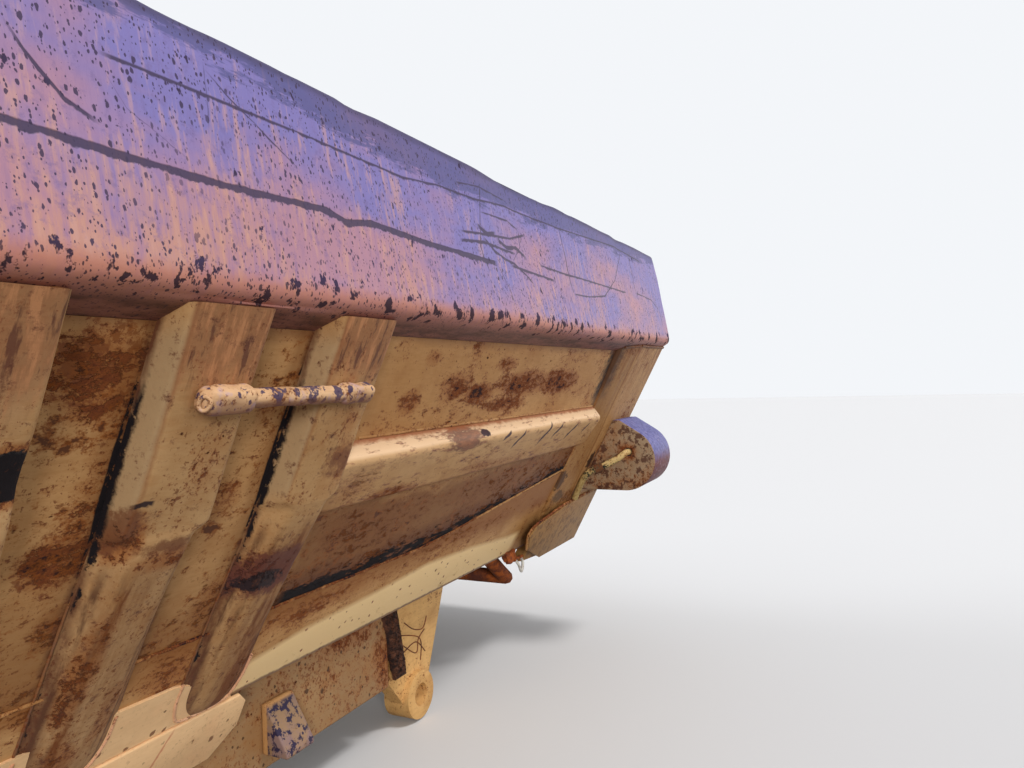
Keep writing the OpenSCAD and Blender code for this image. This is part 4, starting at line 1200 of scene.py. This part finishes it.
def swept(
    name, lines, radius, lump, grain, material, stands_for=(), step=0.006, sign=1
):
    """A round bead or tube along lines of points, with lumps on it."""
    lines = [[(x, y * sign, z) for x, y, z in line] for line in lines]
    carrier = bpy.data.objects.new(name + "_lines", mesh_lines(name + "_lines", lines))
    scene.collection.objects.link(carrier)
    modifier = carrier.modifiers.new("bead", "NODES")
    modifier.node_group = BEAD
    for label, value in (
        ("Radius", radius), ("Lump", lump), ("Grain", grain), ("Step", step),
        ("Material", material),
    ):
        modifier[BEAD_SLOTS[label]] = value
    shape = carrier.evaluated_get(bpy.context.evaluated_depsgraph_get())
    data = bpy.data.meshes.new_from_object(shape)
    bpy.data.objects.remove(carrier)
    made = bmesh.new()
    made.from_mesh(data)
    bpy.data.meshes.remove(data)
    bmesh.ops.remove_doubles(made, verts=made.verts, dist=0.00001)
    return piece(name, made, [material], stands_for, 1, 60)


def conduit_look(paint, colour, rough, rust):
    """Pale paint, dirtier below, with black spots near the coupling."""
    low = (paint.z + paint.wobble * 0.04).ramp(0.64, 0.60)
    colour = paint.blend(low * 0.7, colour, from_screen(146, 124, 76))
    black = paint.noise(70, 4, 0.7, 29) + (0.05 - abs(paint.z - 0.625)).ramp(0.0, 0.03) * 0.13
    colour = paint.blend(black.ramp(0.62, 0.66), colour, from_screen(38, 40, 34))
    return colour, rough


for side, sign, seed in SIDES:
    look = aged(
        "conduit_paint_" + side, seed + 8, base=from_screen(216, 190, 130),
        pale=from_screen(224, 200, 142), streaked=0.1, finish=conduit_look,
    )
    run = (
        (-0.935, HOLE_Y, HOLE_Z), (-0.905, HOLE_Y, HOLE_Z), (-0.876, 1.120, 0.688),
        (-0.858, 1.094, 0.668), (-0.848, 1.040, 0.640), (-0.840, 0.985, 0.617),
        (-0.838, 0.952, 0.582), (-0.840, 0.913, 0.504),
    )
    swept(
        "cable_conduit_" + side, [run], 0.0130, 0.0016, 90, look, stands_for=["conduit_" + side],
        sign=sign,
    )
    black = aged(
        "conduit_fitting_" + side, seed + 9, base=from_screen(60, 52, 46),
        pale=from_screen(90, 80, 66),
    )
    swept(
        "conduit_coupling_" + side, [((-0.8475, 1.036, 0.6385), (-0.843, 1.005, 0.625))],
        0.0160, 0.003, 70, black, sign=sign, step=0.004,
    )


# Tail lamps: a round red lens with moulded rings in a dark rubber bezel, held on a small
# bracket inside the guard.
def turned(outline, middle, count=64):
    """A form turned round an axis along X from an outline of (distance, x)."""
    made = bmesh.new()
    rings = []
    for radius, x in outline:
        rings.append([
            made.verts.new((
                middle[0] + x,
                middle[1] + radius * math.cos(2 * math.pi * i / count),
                middle[2] + radius * math.sin(2 * math.pi * i / count),
            ))
            for i in range(count)
        ])
    for ring, after in zip(rings, rings[1:]):
        for i in range(count):
            j = (i + 1) % count
            made.faces.new((ring[i], ring[j], after[j], after[i]))
    made.faces.new(rings[0])
    made.faces.new(rings[-1])
    return made


red = Finish("red_lens")
red_tint = red.blend(
    red.noise(30, 3).ramp(0.4, 0.7) * 0.5, from_screen(176, 26, 22), from_screen(126, 22, 20)
)
red_lens = red.done(red_tint, 0.22 + red.noise(60, 3) * 0.2, red.noise(120, 2), 0.0004)
rubber = Finish("black_rubber")
rubber_tint = rubber.blend(
    rubber.noise(20, 4).ramp(0.45, 0.7), from_screen(44, 40, 40), from_screen(96, 84, 70)
)
black_rubber = rubber.done(rubber_tint, 0.75, rubber.noise(90, 3), 0.0008)
LENS_MIDDLE = (TAIL + 0.040, 1.119, 0.660)
for side, sign, _ in SIDES:
    lens = [(0.0640, 0.020), (0.0640, 0.009)]
    for ring in range(6):
        outer = 0.062 - ring * 0.010
        lens += [(outer, 0.0035 + ring * 0.0001), (outer - 0.004, 0.0012), (outer - 0.008, 0.0035)]
    made = turned(lens, LENS_MIDDLE)
    piece("tail_lens_" + side, made, [red_lens], [], sign, 30)
    case = [
        (0.0655, 0.012), (0.0655, 0.003), (0.068, 0.0008), (0.072, 0.0008), (0.0748, 0.004),
        (0.0748, 0.030), (0.070, 0.052), (0.060, 0.059), (0.030, 0.060),
    ]
    made = turned(case, LENS_MIDDLE)
    bracket = softened("tail_lamp_" + side, 0.002, black_rubber)
    bracket.name = "lamp_case_" + side
    piece("lamp_bezel_" + side, made, [black_rubber], [], sign, 40)


# Welded step: two thick tabs on the outer faces of the rearmost ribs carry a round bar. Boots
# have chipped the cream paint down to dark blotches, and the left tab ends in a ring of weld.
def step_look(paint, colour, rough, rust):
    """Cream paint with dark chips, most of all on the bar."""
    blotch = paint.noise(34, 4, 0.62, 28, (1, 1, 0.8))
    bar = (paint.x - 0.945).ramp(0.0, 0.02) * (paint.x - 1.235).ramp(0.0, -0.10)
    navy = (blotch + bar * 0.05).ramp(0.575, 0.60)
    spots = paint.specks(72, 0.85, 35, reach=0.36)
    navy = navy.most(spots * (paint.x - 1.20).ramp(0.0, 0.02))
    navy = navy.most(spots * (paint.x - 1.02).ramp(0.0, -0.02))
    faded = (blotch + paint.wobble * 0.2).ramp(0.44, 0.30) * 0.7
    colour = paint.blend(faded, colour, from_screen(178, 156, 182))
    colour = paint.blend(navy * 0.92, colour, from_screen(64, 52, 84))
    under = paint.facing(2).ramp(-0.2, -0.7)
    colour = paint.blend(under * 0.75, colour, from_screen(120, 72, 56))
    return colour, rough


STEP_Y, STEP_Z = 1.1732, 0.9888
STEP_PROUD = 0.0165


def step_form(seed):
    """Two rounded tabs and the bar between them, lumpy with weld."""
    made = bmesh.new()
    # Each part: its middle along the body, half length, half height, half thickness
    parts = (
        (1.262, 0.053, 0.020, 0.017), (0.964, 0.047, 0.018, 0.015), (1.114, 0.182, 0.0150, 0.0140),
    )
    lean = math.atan(UPPER_SLOPE)
    count, around = 26, 20
    for x0, half, high, deep in parts:
        is_tab = half < 0.1
        round_off = 0.35 if is_tab else 0.06
        power = 0.62 if is_tab else 1.0
        rings = []
        for i in range(count + 1):
            share = i / count * 2 - 1
            edge = max(0.0, (abs(share) - (1 - round_off)) / round_off)
            size = math.sqrt(max(0.0, 1 - edge ** 2)) * 0.98 + 0.02
            ring = []
            for j in range(around):
                angle = 2 * math.pi * j / around
                outward, upward = math.cos(angle), math.sin(angle)
                up = high * math.copysign(abs(upward) ** power, upward) * size
                out = deep * math.copysign(abs(outward) ** power, outward) * size
                x = x0 + share * half
                lump = 1 + noise.noise(Vector((x * 40, up * 60, out * 60 + seed))) * 0.14
                up, out = up * lump, out * lump + STEP_PROUD
                y = STEP_Y + out * math.cos(lean) + up * math.sin(lean)
                z = STEP_Z - out * math.sin(lean) + up * math.cos(lean)
                ring.append(made.verts.new((x, y, z)))
            rings.append(ring)
        for ring, after in zip(rings, rings[1:]):
            for i in range(around):
                j = (i + 1) % around
                made.faces.new((ring[i], ring[j], after[j], after[i]))
        made.faces.new(rings[0])
        made.faces.new(rings[-1])
    return made


for side, sign, seed in SIDES:
    look = aged(
        "step_paint_" + side, seed + 10, base=from_screen(208, 168, 126),
        pale=from_screen(220, 180, 140), streaked=0.0, finish=step_look,
    )
    piece("welded_step_" + side, step_form(seed), [look], ["step_" + side], sign, 50)


# Skirts, beams, guides and hinges: the heavy plates under the floor. A skirt ties the ribs'
# feet to the box beam, a guide block keeps the body straight as it comes down, and the hinge
# plates carry the eyes about which it tips.
def skirt_look(paint, colour, rough, rust):
    """The palest paint, with rust specks and a slanting weld."""
    weld = paint.stroke(((1.09, 0.200), (1.02, 0.345)), 0.004, True)
    flush = paint.noise(8, 3, 0.6, 29).ramp(0.5, 0.66) * 0.35 * (1 - rust)
    colour = paint.blend(flush, colour, SALMON)
    colour = paint.blend((1 - rust) * 0.65, colour, from_screen(252, 210, 160))
    specks = paint.specks(34, 0.45, 36, reach=0.26)
    colour = paint.blend(specks * 0.85, colour, from_screen(116, 68, 40))
    return paint.blend(weld * 0.7, colour, from_screen(206, 120, 90)), rough


def guide_look(paint, colour, rough, rust):
    """A grey and brown outer face, darkened as painted shade, with dark chips."""
    # Painted shade: the outer face is a darker grey and brown than the paint.
    out = (abs(paint.y) - 0.715).ramp(0.0, 0.004)
    mottle = paint.noise(16, 4, 0.6, 30).ramp(0.42, 0.58)
    tint = paint.blend(mottle, from_screen(128, 108, 114), from_screen(144, 118, 94))
    colour = paint.blend(out * 0.85 * (1 - rust), colour, tint)
    blots = (paint.noise(46, 5, 0.7, 32) + paint.x.ramp(1.3, 0.9) * 0.08).ramp(0.60, 0.64)
    navy = paint.specks(70, 0.4, 31, reach=0.30).most(blots)
    return paint.blend(navy * out, colour, from_screen(48, 40, 66)), rough


def beam_look(paint, colour, rough, rust):
    """The beam's paint is spotted all over where stones have struck it."""
    spots = paint.specks(36, 0.40, 37, reach=0.28).most(paint.specks(64, 0.40, 38, reach=0.30))
    return paint.blend(spots * 0.85, colour, from_screen(70, 42, 26)), rough


def under_marks(paint):
    """Rust along the beams and on the hinge plates."""
    return paint.patches(
        (0.9, 0.12, 0.2, 0.05, 0.6), (0.2, 0.2, 0.08, 0.15, 0.9), (0.35, 0.30, 0.2, 0.04, 0.7)
    )


for side, _, seed in SIDES:
    skirt = aged(
        "skirt_paint_" + side, seed + 11, base=from_screen(240, 200, 152),
        pale=from_screen(252, 218, 176), streaked=0.0, pitted=-0.05, finish=skirt_look,
    )
    softened("skirt_" + side, 0.0035, skirt)
    # Painted shade: the beams' paint is darker than the hinge plates' because they lie in shade
    # under the sill.
    under = aged(
        "beam_paint_" + side, seed + 12, under_marks, base=from_screen(150, 118, 84),
        pale=from_screen(168, 132, 92), streaked=0.1, pitted=0.01, finish=beam_look,
    )
    for node, width in (("beam_", 0.006), ("hoist_lugs_", 0.003)):
        softened(node + side, width, under)
    plate = aged(
        "hinge_paint_" + side, seed + 16, under_marks, base=from_screen(206, 160, 100),
        pale=from_screen(216, 172, 112), streaked=0.1,
    )
    softened("hinge_" + side, 0.004, plate)
    guide = aged("guide_paint_" + side, seed + 13, streaked=0.0, finish=guide_look)
    softened("guide_" + side, 0.004, guide)


# Skirt laps: a second plate, 6 mm thick, laps up from the skirt over the lower wall. It shows
# between the ribs' feet, which stand over it.
for side, sign, _ in SIDES:
    outline = (
        (0.872, 0.3465), (0.880, 0.356), (0.900, 0.366), (1.000, 0.422), (1.030, 0.438),
        (1.060, 0.446), (1.30, 0.452), (1.60, 0.450), (1.95, 0.454), (2.30, 0.450), (2.60, 0.453),
        (2.868, 0.450), (2.880, 0.440), (2.886, 0.3465),
    )
    lean = math.atan(LOWER_SLOPE)
    out, down = 0.0055 * math.cos(lean), 0.0055 * math.sin(lean)
    made = bmesh.new()
    inner = [made.verts.new((x, wall_line(z) - 0.002, z)) for x, z in outline]
    outer = [made.verts.new((x, wall_line(z) + out, z - down)) for x, z in outline]
    made.faces.new(inner)
    rim = made.faces.new(reversed(outer))
    for i in range(len(outline)):
        j = (i + 1) % len(outline)
        made.faces.new((inner[i], inner[j], outer[j], outer[i]))
    bmesh.ops.bevel(made, geom=list(rim.edges), offset=0.002, segments=2, affect="EDGES")
    skirt = bpy.data.materials["skirt_paint_" + side]
    piece("skirt_flap_" + side, made, [skirt], [], sign, 40)


# Welds: hand-laid beads where ribs, rail, waist rib, post, shoe and skirt meet, some proud and
# painted over, others eaten by rust.
def weld_marks(paint):
    """Rust on the sill's long seam and at the post's top and shoe."""
    return paint.patches((0.4, 0.55, 1.4, 0.05), (-0.9, 1.11, 0.3, 0.03), (-0.8, 0.47, 0.4, 0.07))


for side, sign, seed in SIDES:
    bead = aged("weld_paint_" + side, seed + 14, weld_marks, streaked=0.1, pitted=0.055)
    lines = []
    for number in range(7):
        x0 = FIRST_RIB + number * RIB_PITCH
        for edge in (-0.0865, 0.0865):
            legs = [1.085 - i * 0.0355 for i in range(19)]
            if edge > 0 and number < 3:
                legs = legs[11:]
            lines.append([(x0 + edge, wall_line(z) + 0.001, z) for z in legs + [0.425]])
    dark_bead = aged(
        "dark_weld_" + side, seed + 17, base=from_screen(96, 64, 50),
        pale=from_screen(126, 88, 66), pitted=0.03,
    )
    swept("rib_welds_" + side, lines, 0.0022, 0.0030, 90, dark_bead, sign=sign, step=0.010)
    tops = []
    for number in range(7):
        x0 = FIRST_RIB + number * RIB_PITCH
        tops.append([
            (x0 - 0.072, 1.2205, 1.1095), (x0, 1.2215, 1.1085), (x0 + 0.072, 1.2205, 1.1095),
        ])
    tops.append([(-1.142, 1.2185, 1.1095), (-0.98, 1.2195, 1.108), (-0.815, 1.2185, 1.1095)])
    tops.append([(-0.81, 1.216, 1.108), (-0.74, 1.206, 1.104), (-0.662, 1.197, 1.100)])
    swept("rail_welds_" + side, tops, 0.0045, 0.0060, 75, dark_bead, sign=sign)
    waist = [
        [(x / 100, 1.0700, 0.8875) for x in range(-64, 88, 8)],
        [(x / 100, 1.0005, 0.7420) for x in range(-64, 88, 8)],
    ]
    swept("waist_welds_" + side, waist, 0.0034, 0.0040, 90, bead, sign=sign, step=0.008)
    foot = []
    for number in range(7):
        x0 = FIRST_RIB + number * RIB_PITCH
        foot.append([
            (x0 + dx, wall_line(z) + 0.006, z)
            for dx, z in (
                (-0.088, 0.440), (-0.087, 0.400), (-0.074, 0.365), (-0.056, 0.351), (0.0, 0.348),
                (0.056, 0.351), (0.074, 0.365), (0.087, 0.400), (0.088, 0.440),
            )
        ])
    pink = aged(
        "foot_weld_paint_" + side, seed + 15, base=from_screen(222, 160, 128),
        pale=from_screen(240, 196, 160), streaked=0.0,
    )
    swept("foot_welds_" + side, foot, 0.0032, 0.0030, 110, pink, sign=sign, step=0.008)
    shoe = [[
        (x, post_face(z) + 0.001, z)
        for x, z in (
            (-1.145, 0.503), (-1.0, 0.499), (-0.81, 0.493), (-0.67, 0.474), (-0.545, 0.452),
            (-0.508, 0.430), (-0.506, 0.413), (-0.53, 0.385), (-0.56, 0.351),
        )
    ]]
    swept("shoe_weld_" + side, shoe, 0.0050, 0.0070, 70, bead, sign=sign)
    level = [(x / 100, 0.540) for x in range(296, 24, -8)]
    rising = [(x / 100, 0.540 + (25 - x) / 97 * 0.115) for x in range(16, -66, -8)]
    seam = [(x, wall_line(z) + 0.001, z) for x, z in level + rising]
    swept("sill_weld_" + side, [seam], 0.0034, 0.0060, 65, bead, sign=sign, step=0.008)
    aside = Vector((-0.55, 0.82, 0.0))
    ring = [
        tuple(
            Vector((1.3125, 1.1975, 0.9775)) + aside * (0.008 * math.cos(a / 8 * math.pi))
            + Vector((0, 0.2, 0.98)) * (0.010 * math.sin(a / 8 * math.pi))
        )
        for a in range(17)
    ]
    cream = bpy.data.materials["step_paint_" + side]
    swept("step_ring_" + side, [ring], 0.0035, 0.0020, 120, cream, sign=sign, step=0.004)


# Greasy strip: old grease and fibres have caked on the joint between beam and hinge plate,
# with a few stiff rusty wires caught in it.
grease = Finish("caked_grease")
grease_tint = grease.blend(
    grease.noise(60, 5, 0.7, 1).ramp(0.42, 0.62), from_screen(40, 26, 24), from_screen(96, 60, 44)
)
caked_grease = grease.done(grease_tint, 0.85, grease.noise(140, 4, 0.7, 2), 0.004)
wire = Finish("rusty_wire")
wire_tint = wire.blend(
    wire.noise(40, 4).ramp(0.4, 0.6), from_screen(84, 50, 38), from_screen(128, 74, 46)
)
rusty_wire = wire.done(wire_tint, 0.7, wire.noise(200, 2), 0.0006)
for side, sign, seed in SIDES:
    made = bmesh.new()
    bmesh.ops.create_grid(made, x_segments=16, y_segments=70, size=1)
    for vert in made.verts:
        across, along = vert.co.x, vert.co.y
        down = (1 - along) / 2
        x = 0.185 - down * 0.060 + across * (0.042 - 0.012 * down)
        z = 0.338 - down * 0.235
        rim = (1 - across ** 4) * (1 - along ** 6)
        fluff = noise.noise(Vector((x * 90, z * 90, seed)))
        fluff += noise.noise(Vector((x * 240, z * 240, 3)))
        vert.co = (x + fluff * 0.004, 0.7005 + (0.012 + fluff * 0.009) * max(rim, 0.0), z)
    back = bmesh.ops.extrude_face_region(made, geom=list(made.faces))
    for vert in (v for v in back["geom"] if isinstance(v, bmesh.types.BMVert)):
        vert.co.y = 0.690
    piece("greasy_strip_" + side, made, [caked_grease], [], sign, 60)
    wires = [
        ((0.10, 0.700, 0.26), (0.075, 0.716, 0.235), (0.03, 0.722, 0.225), (-0.01, 0.712, 0.25)),
        ((0.12, 0.700, 0.20), (0.07, 0.720, 0.16), (0.06, 0.724, 0.20), (0.01, 0.715, 0.215)),
        ((0.11, 0.700, 0.17), (0.06, 0.714, 0.19), (0.02, 0.722, 0.15)),
        ((0.13, 0.700, 0.23), (0.05, 0.722, 0.20), (0.045, 0.720, 0.13)),
    ]
    swept(
        "caught_wires_" + side, wires, 0.0018, 0.0006, 150, rusty_wire, sign=sign,
        step=0.004,
    )


# Tail tube: one bent tube braces the ramp and is welded to a pad at each end. The tube and its
# pads are bare and rusty all over.
def bare_rust(name, seed):
    """Steel with no paint left, rusted orange and dark brown."""
    paint = Finish(name, seed)
    grain = paint.noise(34, 5, 0.7, 1)
    colour = paint.blend(grain.ramp(0.38, 0.62), from_screen(92, 48, 34), from_screen(166, 88, 40))
    colour = paint.blend(paint.noise(8, 4, 0.6, 2).ramp(0.5, 0.7), colour, from_screen(70, 42, 42))
    return paint.done(colour, 0.82, grain + paint.noise(120, 3, 0.6, 3) * 0.4, 0.003)


tube_rust = bare_rust("tube_rust", 5)
leg = [
    (-0.670, 0.6710, 0.210), (-0.640, 0.6710, 0.232), (-0.560, 0.6710, 0.293),
    (-0.465, 0.6710, 0.364),
]
across = [(x, y, z) for x, y, z in reversed(leg)]
across += [(-0.671, y, 0.2095) for y in (0.655, 0.45, 0.2, 0.0, -0.2, -0.45, -0.655)]
across += [(x, -y, z) for x, y, z in leg]
swept("tail_tube", [across], 0.0285, 0.002, 40, tube_rust, ["cross_tube"], 0.012)
for side, _, _ in SIDES:
    softened("tube_hanger_" + side, 0.004, tube_rust)


# Sill brackets: beside each end of the tail tube a small rusty bracket under the sill holds a
# pale shackle by its pin.
rusty_bracket = bare_rust("bracket_rust", 6)
zinc = Finish("dull_zinc")
zinc_tint = zinc.blend(
    zinc.noise(50, 4).ramp(0.45, 0.7), from_screen(206, 204, 198), from_screen(120, 92, 70)
)
dull_zinc = zinc.done(zinc_tint, 0.5, zinc.noise(120, 3), 0.001, 0.35)
for side, sign, seed in SIDES:
    made = bmesh.new()
    bmesh.ops.create_cube(made, size=1.0)
    bmesh.ops.subdivide_edges(made, edges=made.edges, cuts=5, use_grid_fill=True)
    for vert in made.verts:
        x, y, z = vert.co
        swell = 1 + 0.25 * noise.noise(Vector((x * 3, y * 3, z * 3 + seed)))
        vert.co = (
            -0.500 + x * 0.075 * swell, 0.775 + y * 0.030 * swell - z * 0.012,
            0.335 + z * 0.045 * swell,
        )
    bmesh.ops.bevel(
        made, geom=[e for e in made.edges if e.calc_face_angle() > 1.0], offset=0.006,
        segments=2, affect="EDGES",
    )
    piece("sill_bracket_" + side, made, [rusty_bracket], [], sign, 50)
    bow = [
        (-0.520, 0.792, 0.318), (-0.528, 0.800, 0.300), (-0.538, 0.802, 0.280),
        (-0.552, 0.800, 0.270), (-0.566, 0.798, 0.280), (-0.574, 0.796, 0.300),
        (-0.566, 0.792, 0.318),
    ]
    swept("shackle_" + side, [bow], 0.0055, 0.001, 80, dull_zinc, sign=sign, step=0.004)
    pin = [(-0.508, 0.791, 0.320), (-0.545, 0.791, 0.321), (-0.582, 0.791, 0.320)]
    swept(
        "shackle_pin_" + side, [pin], 0.0065, 0.001, 80, rusty_bracket, sign=sign,
        step=0.004,
    )


# Floor, ramp and lip: thick wear plates polished by sliding rock along the body, with brown
# flash rust where the load lies still, over cross-members and a folded bolster.
def scoured_plate(name, seed):
    """Steel scoured along the body, polished in lines and brown in patches."""
    paint = Finish(name, seed)
    long = paint.noise(1.0, 5, 0.7, 1, (3, 55, 3))
    patchy = paint.noise(3.5, 5, 0.65, 2)
    colour = paint.blend(long.ramp(0.40, 0.62), from_screen(140, 120, 104), from_screen(98, 74, 60))
    colour = paint.blend(patchy.ramp(0.46, 0.62), colour, from_screen(134, 78, 46))
    colour = paint.blend(
        paint.noise(30, 4, 0.6, 3).ramp(0.60, 0.66), colour, from_screen(70, 44, 36)
    )
    polish = long.ramp(0.5, 0.35)
    return paint.done(colour, 0.62 - polish * 0.22, long * 0.5 + patchy * 0.6, 0.002, polish * 0.5)


wear = scoured_plate("scoured_plate", 3)
for node in ("floor_plate", "tail_ramp", "tail_lip"):
    softened(node, 0.002, wear)
under_paint = aged("under_paint", 61, base=from_screen(200, 154, 94), streaked=0.3, pitted=0.03)
for node in ("tail_bolster", "cross_members"):
    softened(node, 0.004, under_paint)


# Headboard: a leaning plate with pressed stiffeners and a rail outside, scoured inside, and a
# spill guard on top that leans forward over the cab side.
def head_look(paint, colour, rough, rust):
    """Scoured steel on the side of the load, paint on the others."""
    inside = paint.facing(0).ramp(-0.3, -0.6)
    scratch = paint.noise(1.0, 4, 0.7, 33, (40, 5, 40))
    steel = paint.blend(scratch.ramp(0.4, 0.62), SCOURED, from_screen(96, 66, 50))
    steel = paint.blend(paint.noise(6, 5, 0.7, 34).ramp(0.45, 0.6), steel, RUST)
    return paint.blend(inside, colour, steel), rough + inside * (0.5 - rough)


head = aged("head_paint", 71, streaked=0.7, pitted=0.02, finish=head_look)
for node, width in (("headboard", 0.002), ("headboard_frame", 0.006), ("spill_guard", 0.003)):
    softened(node, width, head)


# Floor for the pictures: a pale plane under the part. Only the camera and mirror rays see it
# pale, so that it throws little light up at the leaning walls.
floor_mesh = bmesh.new()
bmesh.ops.create_grid(floor_mesh, x_segments=1, y_segments=1, size=30)
floor_data = bpy.data.meshes.new("pale_floor")
floor_mesh.to_mesh(floor_data)
floor_mesh.free()
floor_data.transform(Matrix.Translation((0, 0, -0.08)))
floor = bpy.data.objects.new("pale_floor", floor_data)
scene.collection.objects.link(floor)
floor_look = bpy.data.materials.new("pale_floor")
floor_look.use_nodes = True
tree = Nodes(floor_look.node_tree)
pale = tree.node(
    "ShaderNodeBsdfPrincipled",
    values={"Base Color": (0.72, 0.73, 0.75, 1), "Roughness": 0.9},
)
dim = tree.node("ShaderNodeBsdfDiffuse", values={"Color": (0.20, 0.18, 0.15, 1)})
ray = tree.node("ShaderNodeLightPath", out="Is Camera Ray")
seen = ray.most(ray.beside("Is Glossy Ray")).most(ray.beside("Is Transmission Ray"))
mixed = tree.node("ShaderNodeMixShader", values={0: seen, 1: dim, 2: pale})
tree.node("ShaderNodeOutputMaterial", values={"Surface": mixed})
floor_data.materials.append(floor_look)
